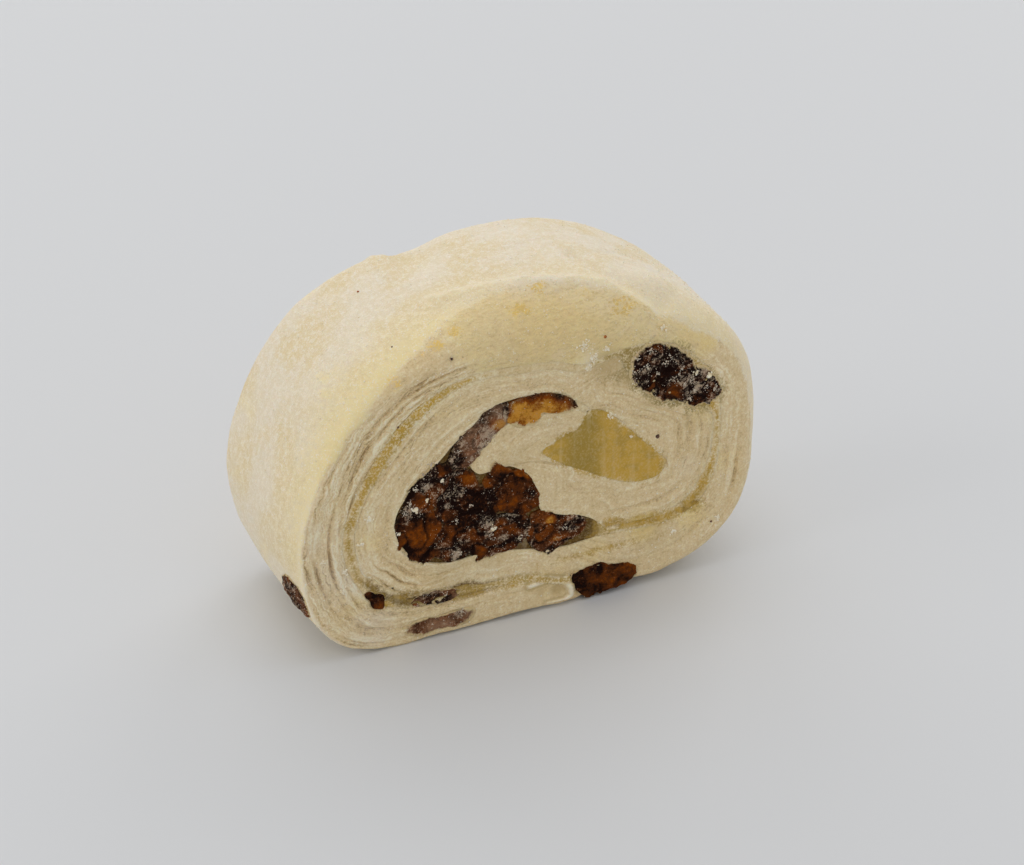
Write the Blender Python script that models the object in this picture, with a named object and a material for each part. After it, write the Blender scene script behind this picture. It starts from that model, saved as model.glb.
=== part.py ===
# Pain aux raisins: one unbaked slice of a rolled pastry, standing on the flat side of its roll.
# The front cut face looks to -Y and the roll's axis runs along Y. Sizes are in millimetres
# until the meshes are made, and the scene is in metres.

import math

import bmesh
import bpy
from mathutils import Vector

metre = 0.001

# Block
sliceThick = 31.0           # between the two cut faces
middleSwell = 0.6           # how far the sides bulge halfway between the faces
hubX = 0.5                  # the point that the roll winds round, seen on a cut face
hubZ = 28.4
middleX = -0.237            # middle of the finished roll, which becomes the origin
flatBelow = 0.2             # whatever comes closer than this to the ground lies on it
flapHeading = -75.0         # where the outer end of the strip lies, in degrees from +X
turnStep = 22.5             # the lists below hold one value for each such step inwards
# From the hub to the outside of the roll, one whole turn from the flap's tip.
outsideReaches = (29.4, 28.65, 33.0, 42.5, 42.0, 37.9, 34.0, 29.0, 25.8,
                  26.1, 28.5, 32.5, 38.0, 39.5, 40.8, 35.0, 24.6)
# From the hub to the seam's outer side, all the way in to where the strip ends.
seamReaches = (25.4, 22.4, 25.1, 33.0, 33.4, 28.0, 24.0, 20.2, 16.6, 15.8, 16.2, 24.5, 29.8,
               31.4, 31.3, 21.6, 18.2, 16.6, 17.4, 23.6, 24.8, 17.4, 14.0, 12.8, 11.1, 10.6,
               10.0, 10.2)
# How far the front rim is rounded off, for each eighth of a turn from +X through +Z.
frontRounds = (4.5, 6.5, 8.5, 2.6, 0.5, 0.6, 0.8, 2.1)
# How far the outside draws in towards the front face, for each turnStep from the flap's tip.
frontTapers = (0.0, 0.0, 0.0, 0.0, 1.1, 2.0, 2.3, 1.7, 0.6, 0.0, 0.0, 0.0, 0.0, 0.0, 0.0, 0.0, 0.0)
taperDepth = 9.0            # how far behind the front face the taper begins
backRound = 2.3

# Relief of the outside, along paths of (turn, depth behind the front face)
degreeLong = 0.5            # millimetres along the outside for a degree of turn, near the top
ridgePath = ((168, 10.3), (187, 8.9), (203, 6.4), (212, 5.4), (221, 4.3), (227, 2.4), (236, 0.6))
ridgeHigh = 0.8
ridgeWide = 1.5
groovePath = ((221, 14.0), (225, 8.5), (231, 5.0), (242, 2.4))
grooveDeep = 0.9
grooveWide = 1.5
knob = (241.0, 7.5, 4.5, 0.8)   # turn, depth, radius and height of the bump that a raisin makes
# Dent of the back rim: where its steep and its gentle side lie, and how deep it is
dentTurns = (166.0, 192.0)
dentDeep = 1.1
dentStart = 17.0            # how far behind the front face it begins

# Seam between the turns of the strip
seamGap = 1.3
# Places where the seam opens: turn from the flap's tip, half width in degrees, how much wider,
# and the cut face that it lies at, with 0 for the front, 1 for the back and None for both.
seamSwells = (
    (112.0, 45.0, 0.7, None),
    (316.0, 20.0, 1.1, None),
    (54.0, 15.0, 1.5, 0),
    (71.0, 9.0, 1.3, 0),
    (261.0, 25.0, 6.2, 0),
    (150.0, 17.0, 3.8, 1),
    (292.0, 13.0, 4.2, 1),
    (408.0, 28.0, 5.6, 1),
    (520.0, 30.0, 3.6, 1),
)
pocketReachIn = 0.32        # share of the slice that a raisin's hollow goes in from a cut face

# Heart of the roll on the front face, as (x, z)
tongueBack = ((10.9, 13.5), (8.4, 15.4), (4.0, 16.9), (0.8, 18.4), (0.2, 21.8), (-1.5, 25.6),
              (-5.5, 28.0), (-9.5, 27.5), (-11.0, 29.8), (-9.2, 31.6), (-6.1, 34.4),
              (-1.2, 36.3), (3.8, 36.6), (6.6, 35.3), (7.7, 34.2))
pocketFar = ((8.9, 34.3), (11.4, 33.5), (14.3, 30.9), (17.5, 27.3), (20.2, 24.5), (22.2, 22.2))
pocketNear = ((22.2, 22.2), (21.0, 19.9), (16.8, 19.6), (12.5, 21.2), (8.2, 23.7), (3.9, 26.2),
              (1.0, 28.8), (3.8, 30.4), (6.7, 31.4), (8.0, 33.2))
tongueStart = 340.0         # turn at which the strip's outer side leaves the seam for the tongue
arcEnd = 607.5              # turn at which the innermost seam ends

# Custard
clear = 0.38                # gap to the dough, measured from the hub
filmEnds = (3.0, 600.0)     # turns between which the film lies

# Raisins that show on the front face: (x, z) of the middle, how far each one goes in, and its
# reach towards the eight compass points from +X through +Z.
frontRaisins = {
    "raisin_arc_tip": (-0.2, 36.8, 7.0, (5.5, 2.5, 2.1, 3.1, 4.7, 3.1, 2.4, 1.5)),
    "raisin_arc_upper": (-9.8, 33.7, 8.5, (2.6, 6.4, 2.5, 1.6, 2.4, 5.9, 2.6, 1.8)),
    "raisin_arc_lower": (-16.7, 26.7, 9.0, (5.8, 3.7, 3.6, 2.8, 4.0, 5.5, 2.4, 2.2)),
    "raisin_corner": (-19.6, 19.5, 8.0, (3.1, 3.5, 3.4, 3.8, 2.9, 3.6, 3.9, 3.3)),
    "raisin_dark": (-11.4, 22.1, 9.0, (4.3, 3.2, 3.2, 4.3, 5.0, 2.9, 3.0, 4.6)),
    "raisin_lobe": (-4.3, 23.3, 8.0, (3.7, 2.9, 3.1, 4.6, 3.8, 2.9, 3.7, 5.1)),
    "raisin_grey": (-9.6, 16.6, 9.5, (7.8, 2.9, 2.1, 4.5, 7.3, 2.9, 3.1, 5.1)),
    "raisin_right": (3.0, 14.4, 8.0, (5.1, 2.8, 2.6, 4.6, 4.2, 3.7, 3.0, 3.2)),
    "raisin_shoulder": (21.4, 37.8, 9.0, (4.6, 3.8, 4.6, 6.1, 4.8, 3.2, 4.3, 6.3)),
    "raisin_shoulder_tail": (28.2, 33.1, 6.0, (2.6, 1.8, 2.3, 2.2, 2.0, 2.6, 2.2, 2.5)),
    "raisin_seam_corner": (-26.9, 10.0, 3.0, (1.3, 0.9, 1.2, 2.1, 1.2, 0.8, 1.2, 1.9)),
    "raisin_seam_bottom": (-16.8, 7.3, 4.5, (3.3, 1.3, 1.0, 1.8, 3.5, 1.2, 1.0, 1.7)),
    "raisin_under_skin": (-16.1, 2.6, 3.0, (5.4, 1.8, 1.2, 1.6, 5.6, 1.6, 1.1, 1.5)),
    "raisin_under_flap": (11.1, 2.9, 8.0, (6.2, 2.4, 2.0, 3.3, 4.6, 3.3, 2.4, 2.9)),
}
# Raisins that show on the back face: turn of the seam, half length along it, half height,
# and how far each one goes in.
backRaisins = {
    "raisin_back_left": (150.0, 5.0, 2.5, 9.0),
    "raisin_back_right": (292.0, 5.2, 2.6, 8.0),
    "raisin_back_low": (408.0, 6.4, 3.3, 9.0),
    "raisin_back_heart": (520.0, 5.2, 2.3, 8.0),
}
# Raisin in the outside: heading, depth of its middle, half sizes, and how far it goes in
sideRaisin = (-155.5, 3.6, 3.5, 2.4, 2.2)
raisinProud = 0.15
raisinGap = 0.3

# Fineness of the meshes
depthShares = (0.0, 0.04, 0.11, 0.2, 0.3, 0.45, 0.66, 0.84, 0.95, 1.0)
# Steps of the lamination across the strip on a cut face
layerRelief = (0.0, -0.12, 0.12, 0.0)
raisinSides = 16


def between(values, place):
    """Smooth curve through equally spaced values; place counts in steps."""
    last = len(values) - 1
    k = min(int(max(place, 0.0)), last - 1)
    f = min(max(place - k, 0.0), 1.0)
    a = values[max(k - 1, 0)]
    b = values[k]
    c = values[k + 1]
    d = values[min(k + 2, last)]
    return 0.5 * (2 * b + (c - a) * f + (2 * a - 5 * b + 4 * c - d) * f * f
                  + (3 * b - a - 3 * c + d) * f ** 3)


def around(values, degrees):
    """Smooth closed curve through values spaced equally round the compass."""
    n = len(values)
    place = (degrees % 360.0) * n / 360.0
    k = int(place)
    ring = [values[(k + i) % n] for i in (-1, 0, 1, 2)]
    return between(ring, 1 + place - k)


def along(points, share):
    """Point at a share of the way through a list of (x, z) points."""
    place = share * (len(points) - 1)
    return tuple(between([p[i] for p in points], place) for i in (0, 1))


def ease(share):
    share = min(max(share, 0.0), 1.0)
    return share * share * (3 - 2 * share)


def fromEdge(point, start, end):
    """Distance from a point to the line between two others."""
    run = (end[0] - start[0], end[1] - start[1])
    share = (point[0] - start[0]) * run[0] + (point[1] - start[1]) * run[1]
    share = min(max(share / (run[0] ** 2 + run[1] ** 2), 0.0), 1.0)
    return math.dist(point, (start[0] + run[0] * share, start[1] + run[1] * share))


def heading(turn):
    return flapHeading - turn


def fromHub(turn, reach):
    angle = math.radians(heading(turn))
    return hubX + reach * math.cos(angle), hubZ + reach * math.sin(angle)


def rimInset(turn, depth):
    """How far the outside draws in near the two cut faces."""
    roundFront = around(frontRounds, heading(turn))
    inset = 0.0
    for fromFace, radius in ((depth, roundFront), (sliceThick - depth, backRound)):
        if fromFace < radius:
            inset += radius - math.sqrt(max(radius ** 2 - (radius - fromFace) ** 2, 0.0))
    taper = between(frontTapers, turn / turnStep)
    return inset + taper * max(1 - depth / taperDepth, 0.0) ** 2


def fromPath(path, turn, depth):
    """Distance over the outside from a point of it to a path."""
    here = (turn * degreeLong, depth)
    line = [(t * degreeLong, d) for t, d in path]
    return min(fromEdge(here, a, b) for a, b in zip(line, line[1:]))


def relief(turn, depth):
    """Height of the ridge that the knife drew up, less the groove beside it and the dent."""
    if not 140 < turn < 275:
        return 0.0
    height = ridgeHigh * math.exp(-(fromPath(ridgePath, turn, depth) / ridgeWide) ** 2)
    height -= grooveDeep * math.exp(-(fromPath(groovePath, turn, depth) / grooveWide) ** 2)
    knobTurn, knobDepth, knobRadius, knobHigh = knob
    away = math.hypot((turn - knobTurn) * degreeLong, depth - knobDepth) / knobRadius
    height += knobHigh * ease(1 - away)
    steep, gentle = dentTurns
    inDent = ease((turn - steep) / 4.0) * ease((gentle - turn) / 22.0)
    return height - dentDeep * inDent * ease((depth - dentStart) / 9.0)


def outside(turn, depth):
    """The outside of the roll, pressed flat where it stands."""
    middle = 1 - (2 * depth / sliceThick - 1) ** 2
    reach = between(outsideReaches, turn / turnStep) + middleSwell * (middle - 1)
    reach += relief(turn, depth)
    reach -= rimInset(turn, depth) * ease((360.0 - turn) / 25.0)
    x, z = fromHub(turn, reach)
    return x, z if z > flatBelow else 0.0


def seamOuter(turn):
    return between(seamReaches, turn / turnStep)


def seamWidth(turn, depth=None):
    """Radial opening of the seam; with a depth, it is wider where a raisin lies in it."""
    width = seamGap
    for middle, spread, more, face in seamSwells:
        near = ease(1 - ((turn - middle) / spread) ** 2)
        if face is None:
            width += more * near
        elif depth is not None:
            away = abs(depth / sliceThick - face)
            width += more * near * ease((0.5 - away) / (0.5 - pocketReachIn))
    return width


def wrapOutside(turn, depth):
    """The strip's outer side one turn further in."""
    return fromHub(turn, seamOuter(turn) - seamWidth(turn, depth))


def tongueOutside(share, depth):
    """The tongue's outer side: as drawn at the front, close to the seam behind the raisins."""
    turn = tongueStart + share * (arcEnd - tongueStart)
    front = along(tongueBack, share)
    behind = wrapOutside(turn, depth)
    mix = ease((depth / sliceThick - pocketReachIn) / (0.5 - pocketReachIn))
    return tuple(a + (b - a) * mix for a, b in zip(front, behind))


def stripStations():
    """Pairs of curves, as functions of depth, that run down the strip's two sides."""
    stations = []
    for k in range(91):
        turn = 360.0 * k / 90
        stations.append((lambda d, t=turn: outside(t, d),
                         lambda d, t=turn: fromHub(t, seamOuter(t))))
    for k in range(1, 37):
        turn = 250.0 * k / 36
        stations.append((lambda d, t=turn: wrapOutside(t, d),
                         lambda d, t=turn: fromHub(t + 360.0, seamOuter(t + 360.0))))
    for k in range(1, 11):
        turn = 250.0 + 66.0 * k / 10
        stations.append((lambda d, t=turn: wrapOutside(t, d),
                         lambda d, f=k / 10: along(pocketFar, f)))
    for k in range(1, 6):
        turn = 316.0 + (tongueStart - 316.0) * k / 5
        stations.append((lambda d, t=turn: wrapOutside(t, d),
                         lambda d, f=0.28 * k / 5: along(pocketNear, f)))
    for k in range(1, 31):
        stations.append((lambda d, f=k / 30: tongueOutside(f, d),
                         lambda d, f=0.28 + 0.72 * k / 30: along(pocketNear, f)))
    return stations


def roundedTip(outer, inner, share):
    """Draws the strip's two sides together, for a round end."""
    middle = tuple((a + b) / 2 for a, b in zip(outer, inner))
    return tuple(tuple(m + (p - m) * share for p, m in zip(side, middle)) for side in (outer, inner))


def stripRing(outer, inner, squeeze=1.0, ahead=(0.0, 0.0)):
    """One closed loop round the strip: front face, inner side, back face, outer side."""
    ring = []
    layers = len(layerRelief) - 1
    rows = [share * sliceThick for share in depthShares]
    sides = [roundedTip(outer(d), inner(d), squeeze) for d in rows]

    def put(x, depth, z):
        ring.append((x + ahead[0], depth - sliceThick / 2, max(z + ahead[1], 0.0)))

    for face, order, facing in ((0, range(layers + 1), -1), (-1, range(layers, -1, -1), 1)):
        (ox, oz), (ix, iz) = sides[face]
        for j in order:
            f = j / layers
            put(ox + (ix - ox) * f, rows[face] + facing * layerRelief[j], oz + (iz - oz) * f)
        inwards = range(1, len(rows) - 1) if face == 0 else range(len(rows) - 2, 0, -1)
        for i in inwards:
            x, z = sides[i][1 if face == 0 else 0]
            put(x, rows[i], z)
    return ring


def newObject(name, bm, material):
    bmesh.ops.recalc_face_normals(bm, faces=bm.faces)
    bmesh.ops.translate(bm, vec=Vector((-middleX, 0.0, 0.0)), verts=bm.verts)
    bmesh.ops.scale(bm, vec=Vector((metre, metre, metre)), verts=bm.verts)
    mesh = bpy.data.meshes.new(name)
    bm.to_mesh(mesh)
    bm.free()
    mesh.shade_smooth()
    obj = bpy.data.objects.new(name, mesh)
    bpy.context.scene.collection.objects.link(obj)
    if material:
        mesh.materials.append(material)
    return obj


def loft(name, rings, material):
    """Closed body through rings of equal length, with flat ends."""
    bm = bmesh.new()
    loops = [[bm.verts.new(p) for p in ring] for ring in rings]
    for a, b in zip(loops, loops[1:]):
        for k in range(len(a)):
            n = (k + 1) % len(a)
            bm.faces.new((a[k], a[n], b[n], b[k]))
    bm.faces.new(loops[0])
    bm.faces.new(list(reversed(loops[-1])))
    return newObject(name, bm, material)


def colour(name, rgb, roughness):
    material = bpy.data.materials.new(name)
    material.use_nodes = True
    shader = material.node_tree.nodes["Principled BSDF"]
    shader.inputs["Base Color"].default_value = (*rgb, 1.0)
    shader.inputs["Roughness"].default_value = roughness
    shader.inputs["Metallic"].default_value = 0.0
    return material


def buildDough():
    stations = stripStations()
    rings = []
    flapOuter, flapInner = stations[0]
    for squeeze, ahead in ((0.35, 1.3), (0.72, 0.9)):
        rings.append(stripRing(flapOuter, flapInner, squeeze, (ahead, 0.0)))
    for outer, inner in stations:
        rings.append(stripRing(outer, inner))
    tipOuter, tipInner = stations[-1]
    rings.append(stripRing(tipOuter, tipInner, 0.5, (0.25, 0.3)))
    return loft("dough", rings, colour("dough", (0.72, 0.60, 0.40), 0.75))


def raisinRings(reaches, inwards, grow, sides):
    """Rings of (u, w, depth) from the cut end of a raisin to its hidden end."""
    mouth = ((-raisinProud, 0.86), (0.15, 1.0)) if not grow else ((-1.5, 1.0), (0.15, 1.0))
    body = ((0.35, 1.04), (0.6, 0.93), (0.82, 0.68), (0.95, 0.36))
    rings = []
    for depth, size in mouth + tuple((share * inwards, size) for share, size in body):
        ring = []
        for k in range(sides):
            angle = 2 * math.pi * k / sides
            ripple = 0.04 * math.sin(5 * angle + 2.1 * depth)
            reach = (around(reaches, math.degrees(angle)) * (1 + ripple)) * size + grow
            ring.append((reach * math.cos(angle), reach * math.sin(angle), depth + grow * size / 2))
        rings.append(ring)
    return rings


def buildRaisin(name, place, axes, reaches, inwards, material, grow=0.0):
    """One raisin; axes are its two directions across and the direction that it goes in."""
    across, up, into = (Vector(a) for a in axes)
    rings = []
    for ring in raisinRings(reaches, inwards, grow, raisinSides):
        rings.append([Vector(place) + across * u + up * w + into * d for u, w, d in ring])
    return loft(name, rings, material)


def ellipseReaches(halfLength, halfHeight, tilt):
    """Reach of a tilted ellipse towards the eight compass points."""
    reaches = []
    for k in range(8):
        angle = math.radians(45.0 * k - tilt)
        reaches.append(1 / math.hypot(math.cos(angle) / halfLength, math.sin(angle) / halfHeight))
    return reaches


def raisinPlaces():
    """Name, place, axes, reaches and depth of every raisin."""
    front = -sliceThick / 2
    facingFront = ((1, 0, 0), (0, 0, 1), (0, 1, 0))
    facingBack = ((1, 0, 0), (0, 0, 1), (0, -1, 0))
    for name, (x, z, inwards, reaches) in frontRaisins.items():
        yield name, (x, front, z), facingFront, reaches, inwards
    for name, (turn, halfLength, halfHeight, inwards) in backRaisins.items():
        reach = seamOuter(turn) - seamWidth(turn, sliceThick) / 2
        x, z = fromHub(turn, reach)
        ahead = fromHub(turn + 6, seamOuter(turn + 6) - seamWidth(turn + 6, sliceThick) / 2)
        tilt = math.degrees(math.atan2(ahead[1] - z, ahead[0] - x))
        yield name, (x, -front, z), facingBack, ellipseReaches(halfLength, halfHeight, tilt), inwards
    angle, depth, halfAlong, halfAcross, inwards = sideRaisin
    turn = flapHeading - angle
    x, z = outside(turn, depth)
    out = Vector((math.cos(math.radians(angle)), 0, math.sin(math.radians(angle))))
    axes = ((0, 1, 0), tuple(Vector((0, 1, 0)).cross(out)), tuple(-out))
    yield ("raisin_side", (x, depth + front, z), axes,
           ellipseReaches(halfAcross, halfAlong, 0.0), inwards)


def buildCustardFilm(material):
    rings = []
    for k in range(86):
        turn = filmEnds[0] + (filmEnds[1] - filmEnds[0]) * k / 85
        first = 0.0
        last = sliceThick
        for middle, spread, _, face in seamSwells:
            near = ease(1.5 - 1.2 * ((turn - middle) / spread) ** 2)
            if face == 0:
                first = max(first, near * (4.5 if spread < 20 else 10.0))
            if face == 1:
                last = min(last, sliceThick - near * 9.5)
        first = max(first, 11.0 * ease((turn - tongueStart + 8) / 12.0))
        outer = []
        inner = []
        thick = seamWidth(turn) - 2 * clear
        for side, inset in ((outer, clear), (inner, clear + thick)):
            x, z = fromHub(turn, seamOuter(turn) - inset)
            for j in range(5):
                side.append((x, first + (last - first) * j / 4 - sliceThick / 2, z))
        rings.append(outer + inner[::-1])
    return loft("custard_film", rings, material)


def insetLoop(points, gap):
    """A closed (x, z) loop drawn in by a gap, without the points that end up too near its edge."""
    n = len(points)
    inside = []
    for k in range(n):
        before = points[k - 1]
        after = points[(k + 1) % n]
        length = math.dist(before, after)
        normal = ((before[1] - after[1]) / length, (after[0] - before[0]) / length)
        inside.append((points[k][0] + normal[0] * gap, points[k][1] + normal[1] * gap))
    return [p for p in inside if min(fromEdge(p, points[k - 1], points[k]) for k in range(n)) > 0.9 * gap]


def buildCustardPocket(material):
    """The custard caught in the heart of the roll, from one cut face to the other."""
    edge = [along(pocketFar, k / 16) for k in range(16)] + [along(pocketNear, k / 28) for k in range(29)]
    edge.reverse()
    edge = insetLoop(edge, clear)
    rings = []
    for share in (0.0, 0.25, 0.5, 0.75, 1.0):
        rings.append([(x, sliceThick * (share - 0.5), z) for x, z in edge])
    return loft("custard_pocket", rings, material)


def carve(target, cutters):
    """Cuts a hollow for each raisin, a little larger than the raisin itself."""
    for cutter in cutters:
        cut = target.modifiers.new("Hollow " + cutter.name, "BOOLEAN")
        cut.operation = "DIFFERENCE"
        cut.solver = "EXACT"
        cut.object = cutter
        cutter.hide_render = True
        cutter.display_type = "WIRE"


def main():
    for obj in list(bpy.data.objects):
        bpy.data.objects.remove(obj)
    dough = buildDough()
    raisinSkin = colour("raisin", (0.045, 0.018, 0.012), 0.6)
    custard = colour("custard", (0.47, 0.33, 0.09), 0.4)
    film = buildCustardFilm(custard)
    pocket = buildCustardPocket(custard)
    hollows = {}
    for name, place, axes, reaches, inwards in raisinPlaces():
        raisin = buildRaisin(name, place, axes, reaches, inwards, raisinSkin)
        carve(raisin, list(hollows.values()))
        hollows[name] = buildRaisin("hollow_" + name, place, axes, reaches, inwards, None, raisinGap)
    carve(dough, list(hollows.values()))
    carve(film, list(hollows.values()))
    carve(pocket, list(hollows.values()))


main()
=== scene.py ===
import math

import bmesh
import bpy
import numpy as np
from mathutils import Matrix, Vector


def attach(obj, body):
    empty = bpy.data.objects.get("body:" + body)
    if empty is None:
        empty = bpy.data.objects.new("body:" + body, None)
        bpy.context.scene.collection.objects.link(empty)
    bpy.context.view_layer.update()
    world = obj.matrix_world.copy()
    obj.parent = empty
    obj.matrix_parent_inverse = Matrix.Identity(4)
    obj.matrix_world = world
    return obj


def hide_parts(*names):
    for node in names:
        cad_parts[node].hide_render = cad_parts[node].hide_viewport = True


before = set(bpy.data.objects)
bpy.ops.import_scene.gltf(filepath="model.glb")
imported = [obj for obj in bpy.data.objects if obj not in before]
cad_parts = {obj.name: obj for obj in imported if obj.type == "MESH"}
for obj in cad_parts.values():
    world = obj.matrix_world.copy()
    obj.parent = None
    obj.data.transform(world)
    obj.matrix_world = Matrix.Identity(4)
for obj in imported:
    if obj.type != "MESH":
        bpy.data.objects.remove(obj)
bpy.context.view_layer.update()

# The look of one unbaked slice of a raisin roll. Shapes are worked out in millimetres,
# seen from the front cut face as (x, z), and made in metres.
mm = 0.001

# The same strip of dough that the solids hold
roll = {
    "thick": 31.0, "swell": 0.6, "hub": (0.5, 28.4), "middle": -0.237, "flatBelow": 0.2,
    "flapHeading": -75.0, "turnStep": 22.5,
    "outside": (29.4, 28.65, 33.0, 42.5, 42.0, 37.9, 34.0, 29.0, 25.8,
                26.1, 28.5, 32.5, 38.0, 39.5, 40.8, 35.0, 24.6),
    "seam": (25.4, 22.4, 25.1, 33.0, 33.4, 28.0, 24.0, 20.2, 16.6, 15.8, 16.2, 24.5, 29.8, 31.4,
             31.3, 21.6, 18.2, 16.6, 17.4, 23.6, 24.8, 17.4, 14.0, 12.8, 11.1, 10.6, 10.0, 10.2),
    "frontRounds": (4.5, 6.5, 8.5, 2.6, 0.5, 0.6, 0.8, 2.1), "backRound": 2.3,
    "frontTapers": (0, 0, 0, 0, 1.1, 2.0, 2.3, 1.7, 0.6, 0, 0, 0, 0, 0, 0, 0, 0), "taperDepth": 9.0,
    "seamGap": 1.3, "pocketReachIn": 0.32, "flapTaper": 25.0,
    "seamSwells": ((112.0, 45.0, 0.7, None), (316.0, 20.0, 1.1, None), (54.0, 15.0, 1.5, 0),
                   (71.0, 9.0, 1.3, 0), (261.0, 25.0, 6.2, 0), (150.0, 17.0, 3.8, 1),
                   (292.0, 13.0, 4.2, 1), (408.0, 28.0, 5.6, 1), (520.0, 30.0, 3.6, 1)),
    "tongueBack": ((10.9, 13.5), (8.4, 15.4), (4.0, 16.9), (0.8, 18.4), (0.2, 21.8),
                   (-1.5, 25.6), (-5.5, 28.0), (-9.5, 27.5), (-11.0, 29.8), (-9.2, 31.6),
                   (-6.1, 34.4), (-1.2, 36.3), (3.8, 36.6), (6.6, 35.3), (7.7, 34.2)),
    "pocketFar": ((8.9, 34.3), (11.4, 33.5), (14.3, 30.9), (17.5, 27.3), (20.2, 24.5),
                  (22.2, 22.2)),
    "pocketNear": ((22.2, 22.2), (21.0, 19.9), (16.8, 19.6), (12.5, 21.2), (8.2, 23.7),
                   (3.9, 26.2), (1.0, 28.8), (3.8, 30.4), (6.7, 31.4), (8.0, 33.2)),
    "tongueStart": 340.0, "arcEnd": 607.5, "nearShare": 0.28, "pocketTurns": (250.0, 316.0),
}
# What the knife left on the outside, along paths of (turn, depth behind the front face)
relief = {
    "degreeLong": 0.5,
    "ridge": ((168, 10.3), (187, 8.9), (203, 6.4), (212, 5.4), (221, 4.3), (227, 2.4), (236, 0.6)),
    "ridgeHigh": 0.8, "ridgeWide": 1.5,
    "groove": ((221, 14.0), (225, 8.5), (231, 5.0), (242, 2.4)), "grooveDeep": 0.9,
    "grooveWide": 1.5,
    "knob": (241.0, 7.5, 4.5, 0.8),
    "dentTurns": (166.0, 192.0), "dentDeep": 1.1, "dentStart": 17.0, "topTurns": (140, 275),
}


def between(values, place):
    # smooth curve through equally spaced values or points
    values = np.asarray(values, float)
    place = np.asarray(place, float)
    last = len(values) - 1
    k = np.clip(np.floor(place), 0, last - 1).astype(int)
    f = np.clip(place - k, 0.0, 1.0)
    if values.ndim > 1:
        f = f[..., None]
    a, b, c, d = (values[np.clip(k + i, 0, last)] for i in (-1, 0, 1, 2))
    return 0.5 * (2 * b + (c - a) * f + (2 * a - 5 * b + 4 * c - d) * f * f
                  + (3 * b - a - 3 * c + d) * f ** 3)


def around(values, degrees):
    ring = [values[-1], *values, values[0], values[1]]
    return between(ring, 1 + (np.asarray(degrees) % 360.0) * len(values) / 360.0)


def along(points, share):
    return between(points, np.asarray(share) * (len(points) - 1))


def ease(share):
    share = np.clip(share, 0.0, 1.0)
    return share * share * (3 - 2 * share)


def lumps(points, size, seed):
    # smooth noise from -1 to 1, with lumps of about this size
    p = np.asarray(points, float) / size + seed * 7.31
    cell = np.floor(p).astype(np.int64)
    f = ease(p - cell)
    total = np.zeros(p.shape[:-1])
    for corner in range(8):
        step = np.array([corner & 1, corner >> 1 & 1, corner >> 2])
        key = ((cell + step) * np.array([73856093, 19349663, 83492791])).sum(-1) & 0xFFFFFFFF
        key = ((key ^ (key >> 15)) * 2246822519) & 0xFFFFFFFF
        key = ((key ^ (key >> 13)) * 3266489917) & 0xFFFFFFFF
        total += np.where(step, f, 1 - f).prod(-1) * ((key ^ (key >> 16)) / 0xFFFFFFFF)
    return 2 * total - 1


def fromPath(points, path):
    # distance from each point to a line of points
    best = np.full(points.shape[:-1], 1e9)
    path = np.asarray(path, float)
    for a, b in zip(path, path[1:]):
        run = b - a
        share = np.clip(((points - a) @ run) / (run @ run), 0.0, 1.0)
        best = np.minimum(best, np.linalg.norm(points - a - share[..., None] * run, axis=-1))
    return best


def heading(turn):
    return roll["flapHeading"] - turn


def fromHub(turn, reach):
    angle = np.radians(heading(np.asarray(turn, float)))
    return np.stack([roll["hub"][0] + reach * np.cos(angle),
                     roll["hub"][1] + reach * np.sin(angle)], -1)


def frontRound(turn):
    return around(roll["frontRounds"], heading(turn))


def alongTurns(path, deeper=0.0):
    # a path of (turn, depth) in the millimetres that distances on the skin are measured in
    return [(turn * relief["degreeLong"], depth + deeper) for turn, depth in path]


def fromKnob(turn, depth):
    # distance from the bump's middle, as a share of its radius
    knobTurn, knobDepth, knobRadius, _ = relief["knob"]
    return np.hypot((turn - knobTurn) * relief["degreeLong"], depth - knobDepth) / knobRadius


def rimInset(turn, depth):
    inset = 0.0
    back = roll["thick"] - depth
    for fromFace, radius in ((depth, frontRound(turn)), (back, roll["backRound"] + 0.0 * turn)):
        near = np.clip(radius - fromFace, 0.0, None)
        rounded = radius - np.sqrt(np.clip(radius ** 2 - near ** 2, 0, None))
        inset = inset + np.where(near > 0, rounded, 0.0)
    taper = between(roll["frontTapers"], np.asarray(turn) / roll["turnStep"])
    inset = inset + taper * np.clip(1 - depth / roll["taperDepth"], 0, None) ** 2
    return inset * ease((360.0 - turn) / roll["flapTaper"])


def topHeight(turn, depth):
    # the ridge, the groove, the bump and the dent of the skin
    here = np.stack([turn * relief["degreeLong"], depth], -1)

    def nearPath(name):
        return np.exp(-(fromPath(here, alongTurns(relief[name])) / relief[name + "Wide"]) ** 2)

    height = relief["ridgeHigh"] * nearPath("ridge") - relief["grooveDeep"] * nearPath("groove")
    height += relief["knob"][3] * ease(1 - fromKnob(turn, depth))
    steep, gentle = relief["dentTurns"]
    inDent = ease((turn - steep) / 4.0) * ease((gentle - turn) / 22.0)
    height -= relief["dentDeep"] * inDent * ease((depth - relief["dentStart"]) / 9.0)
    first, last = relief["topTurns"]
    return np.where((turn > first) & (turn < last), height, 0.0)


def matched(*values):
    return np.broadcast_arrays(*(np.asarray(value, float) for value in values))


def outside(turn, depth):
    turn, depth = matched(turn, depth)
    middle = 1 - (2 * depth / roll["thick"] - 1) ** 2
    reach = between(roll["outside"], turn / roll["turnStep"]) + roll["swell"] * (middle - 1)
    reach = reach + topHeight(turn, depth) - rimInset(turn, depth)
    points = fromHub(turn, reach)
    points[..., 1] = np.where(points[..., 1] > roll["flatBelow"], points[..., 1], 0.0)
    return points


def seamOuter(turn):
    return between(roll["seam"], np.asarray(turn, float) / roll["turnStep"])


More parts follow.
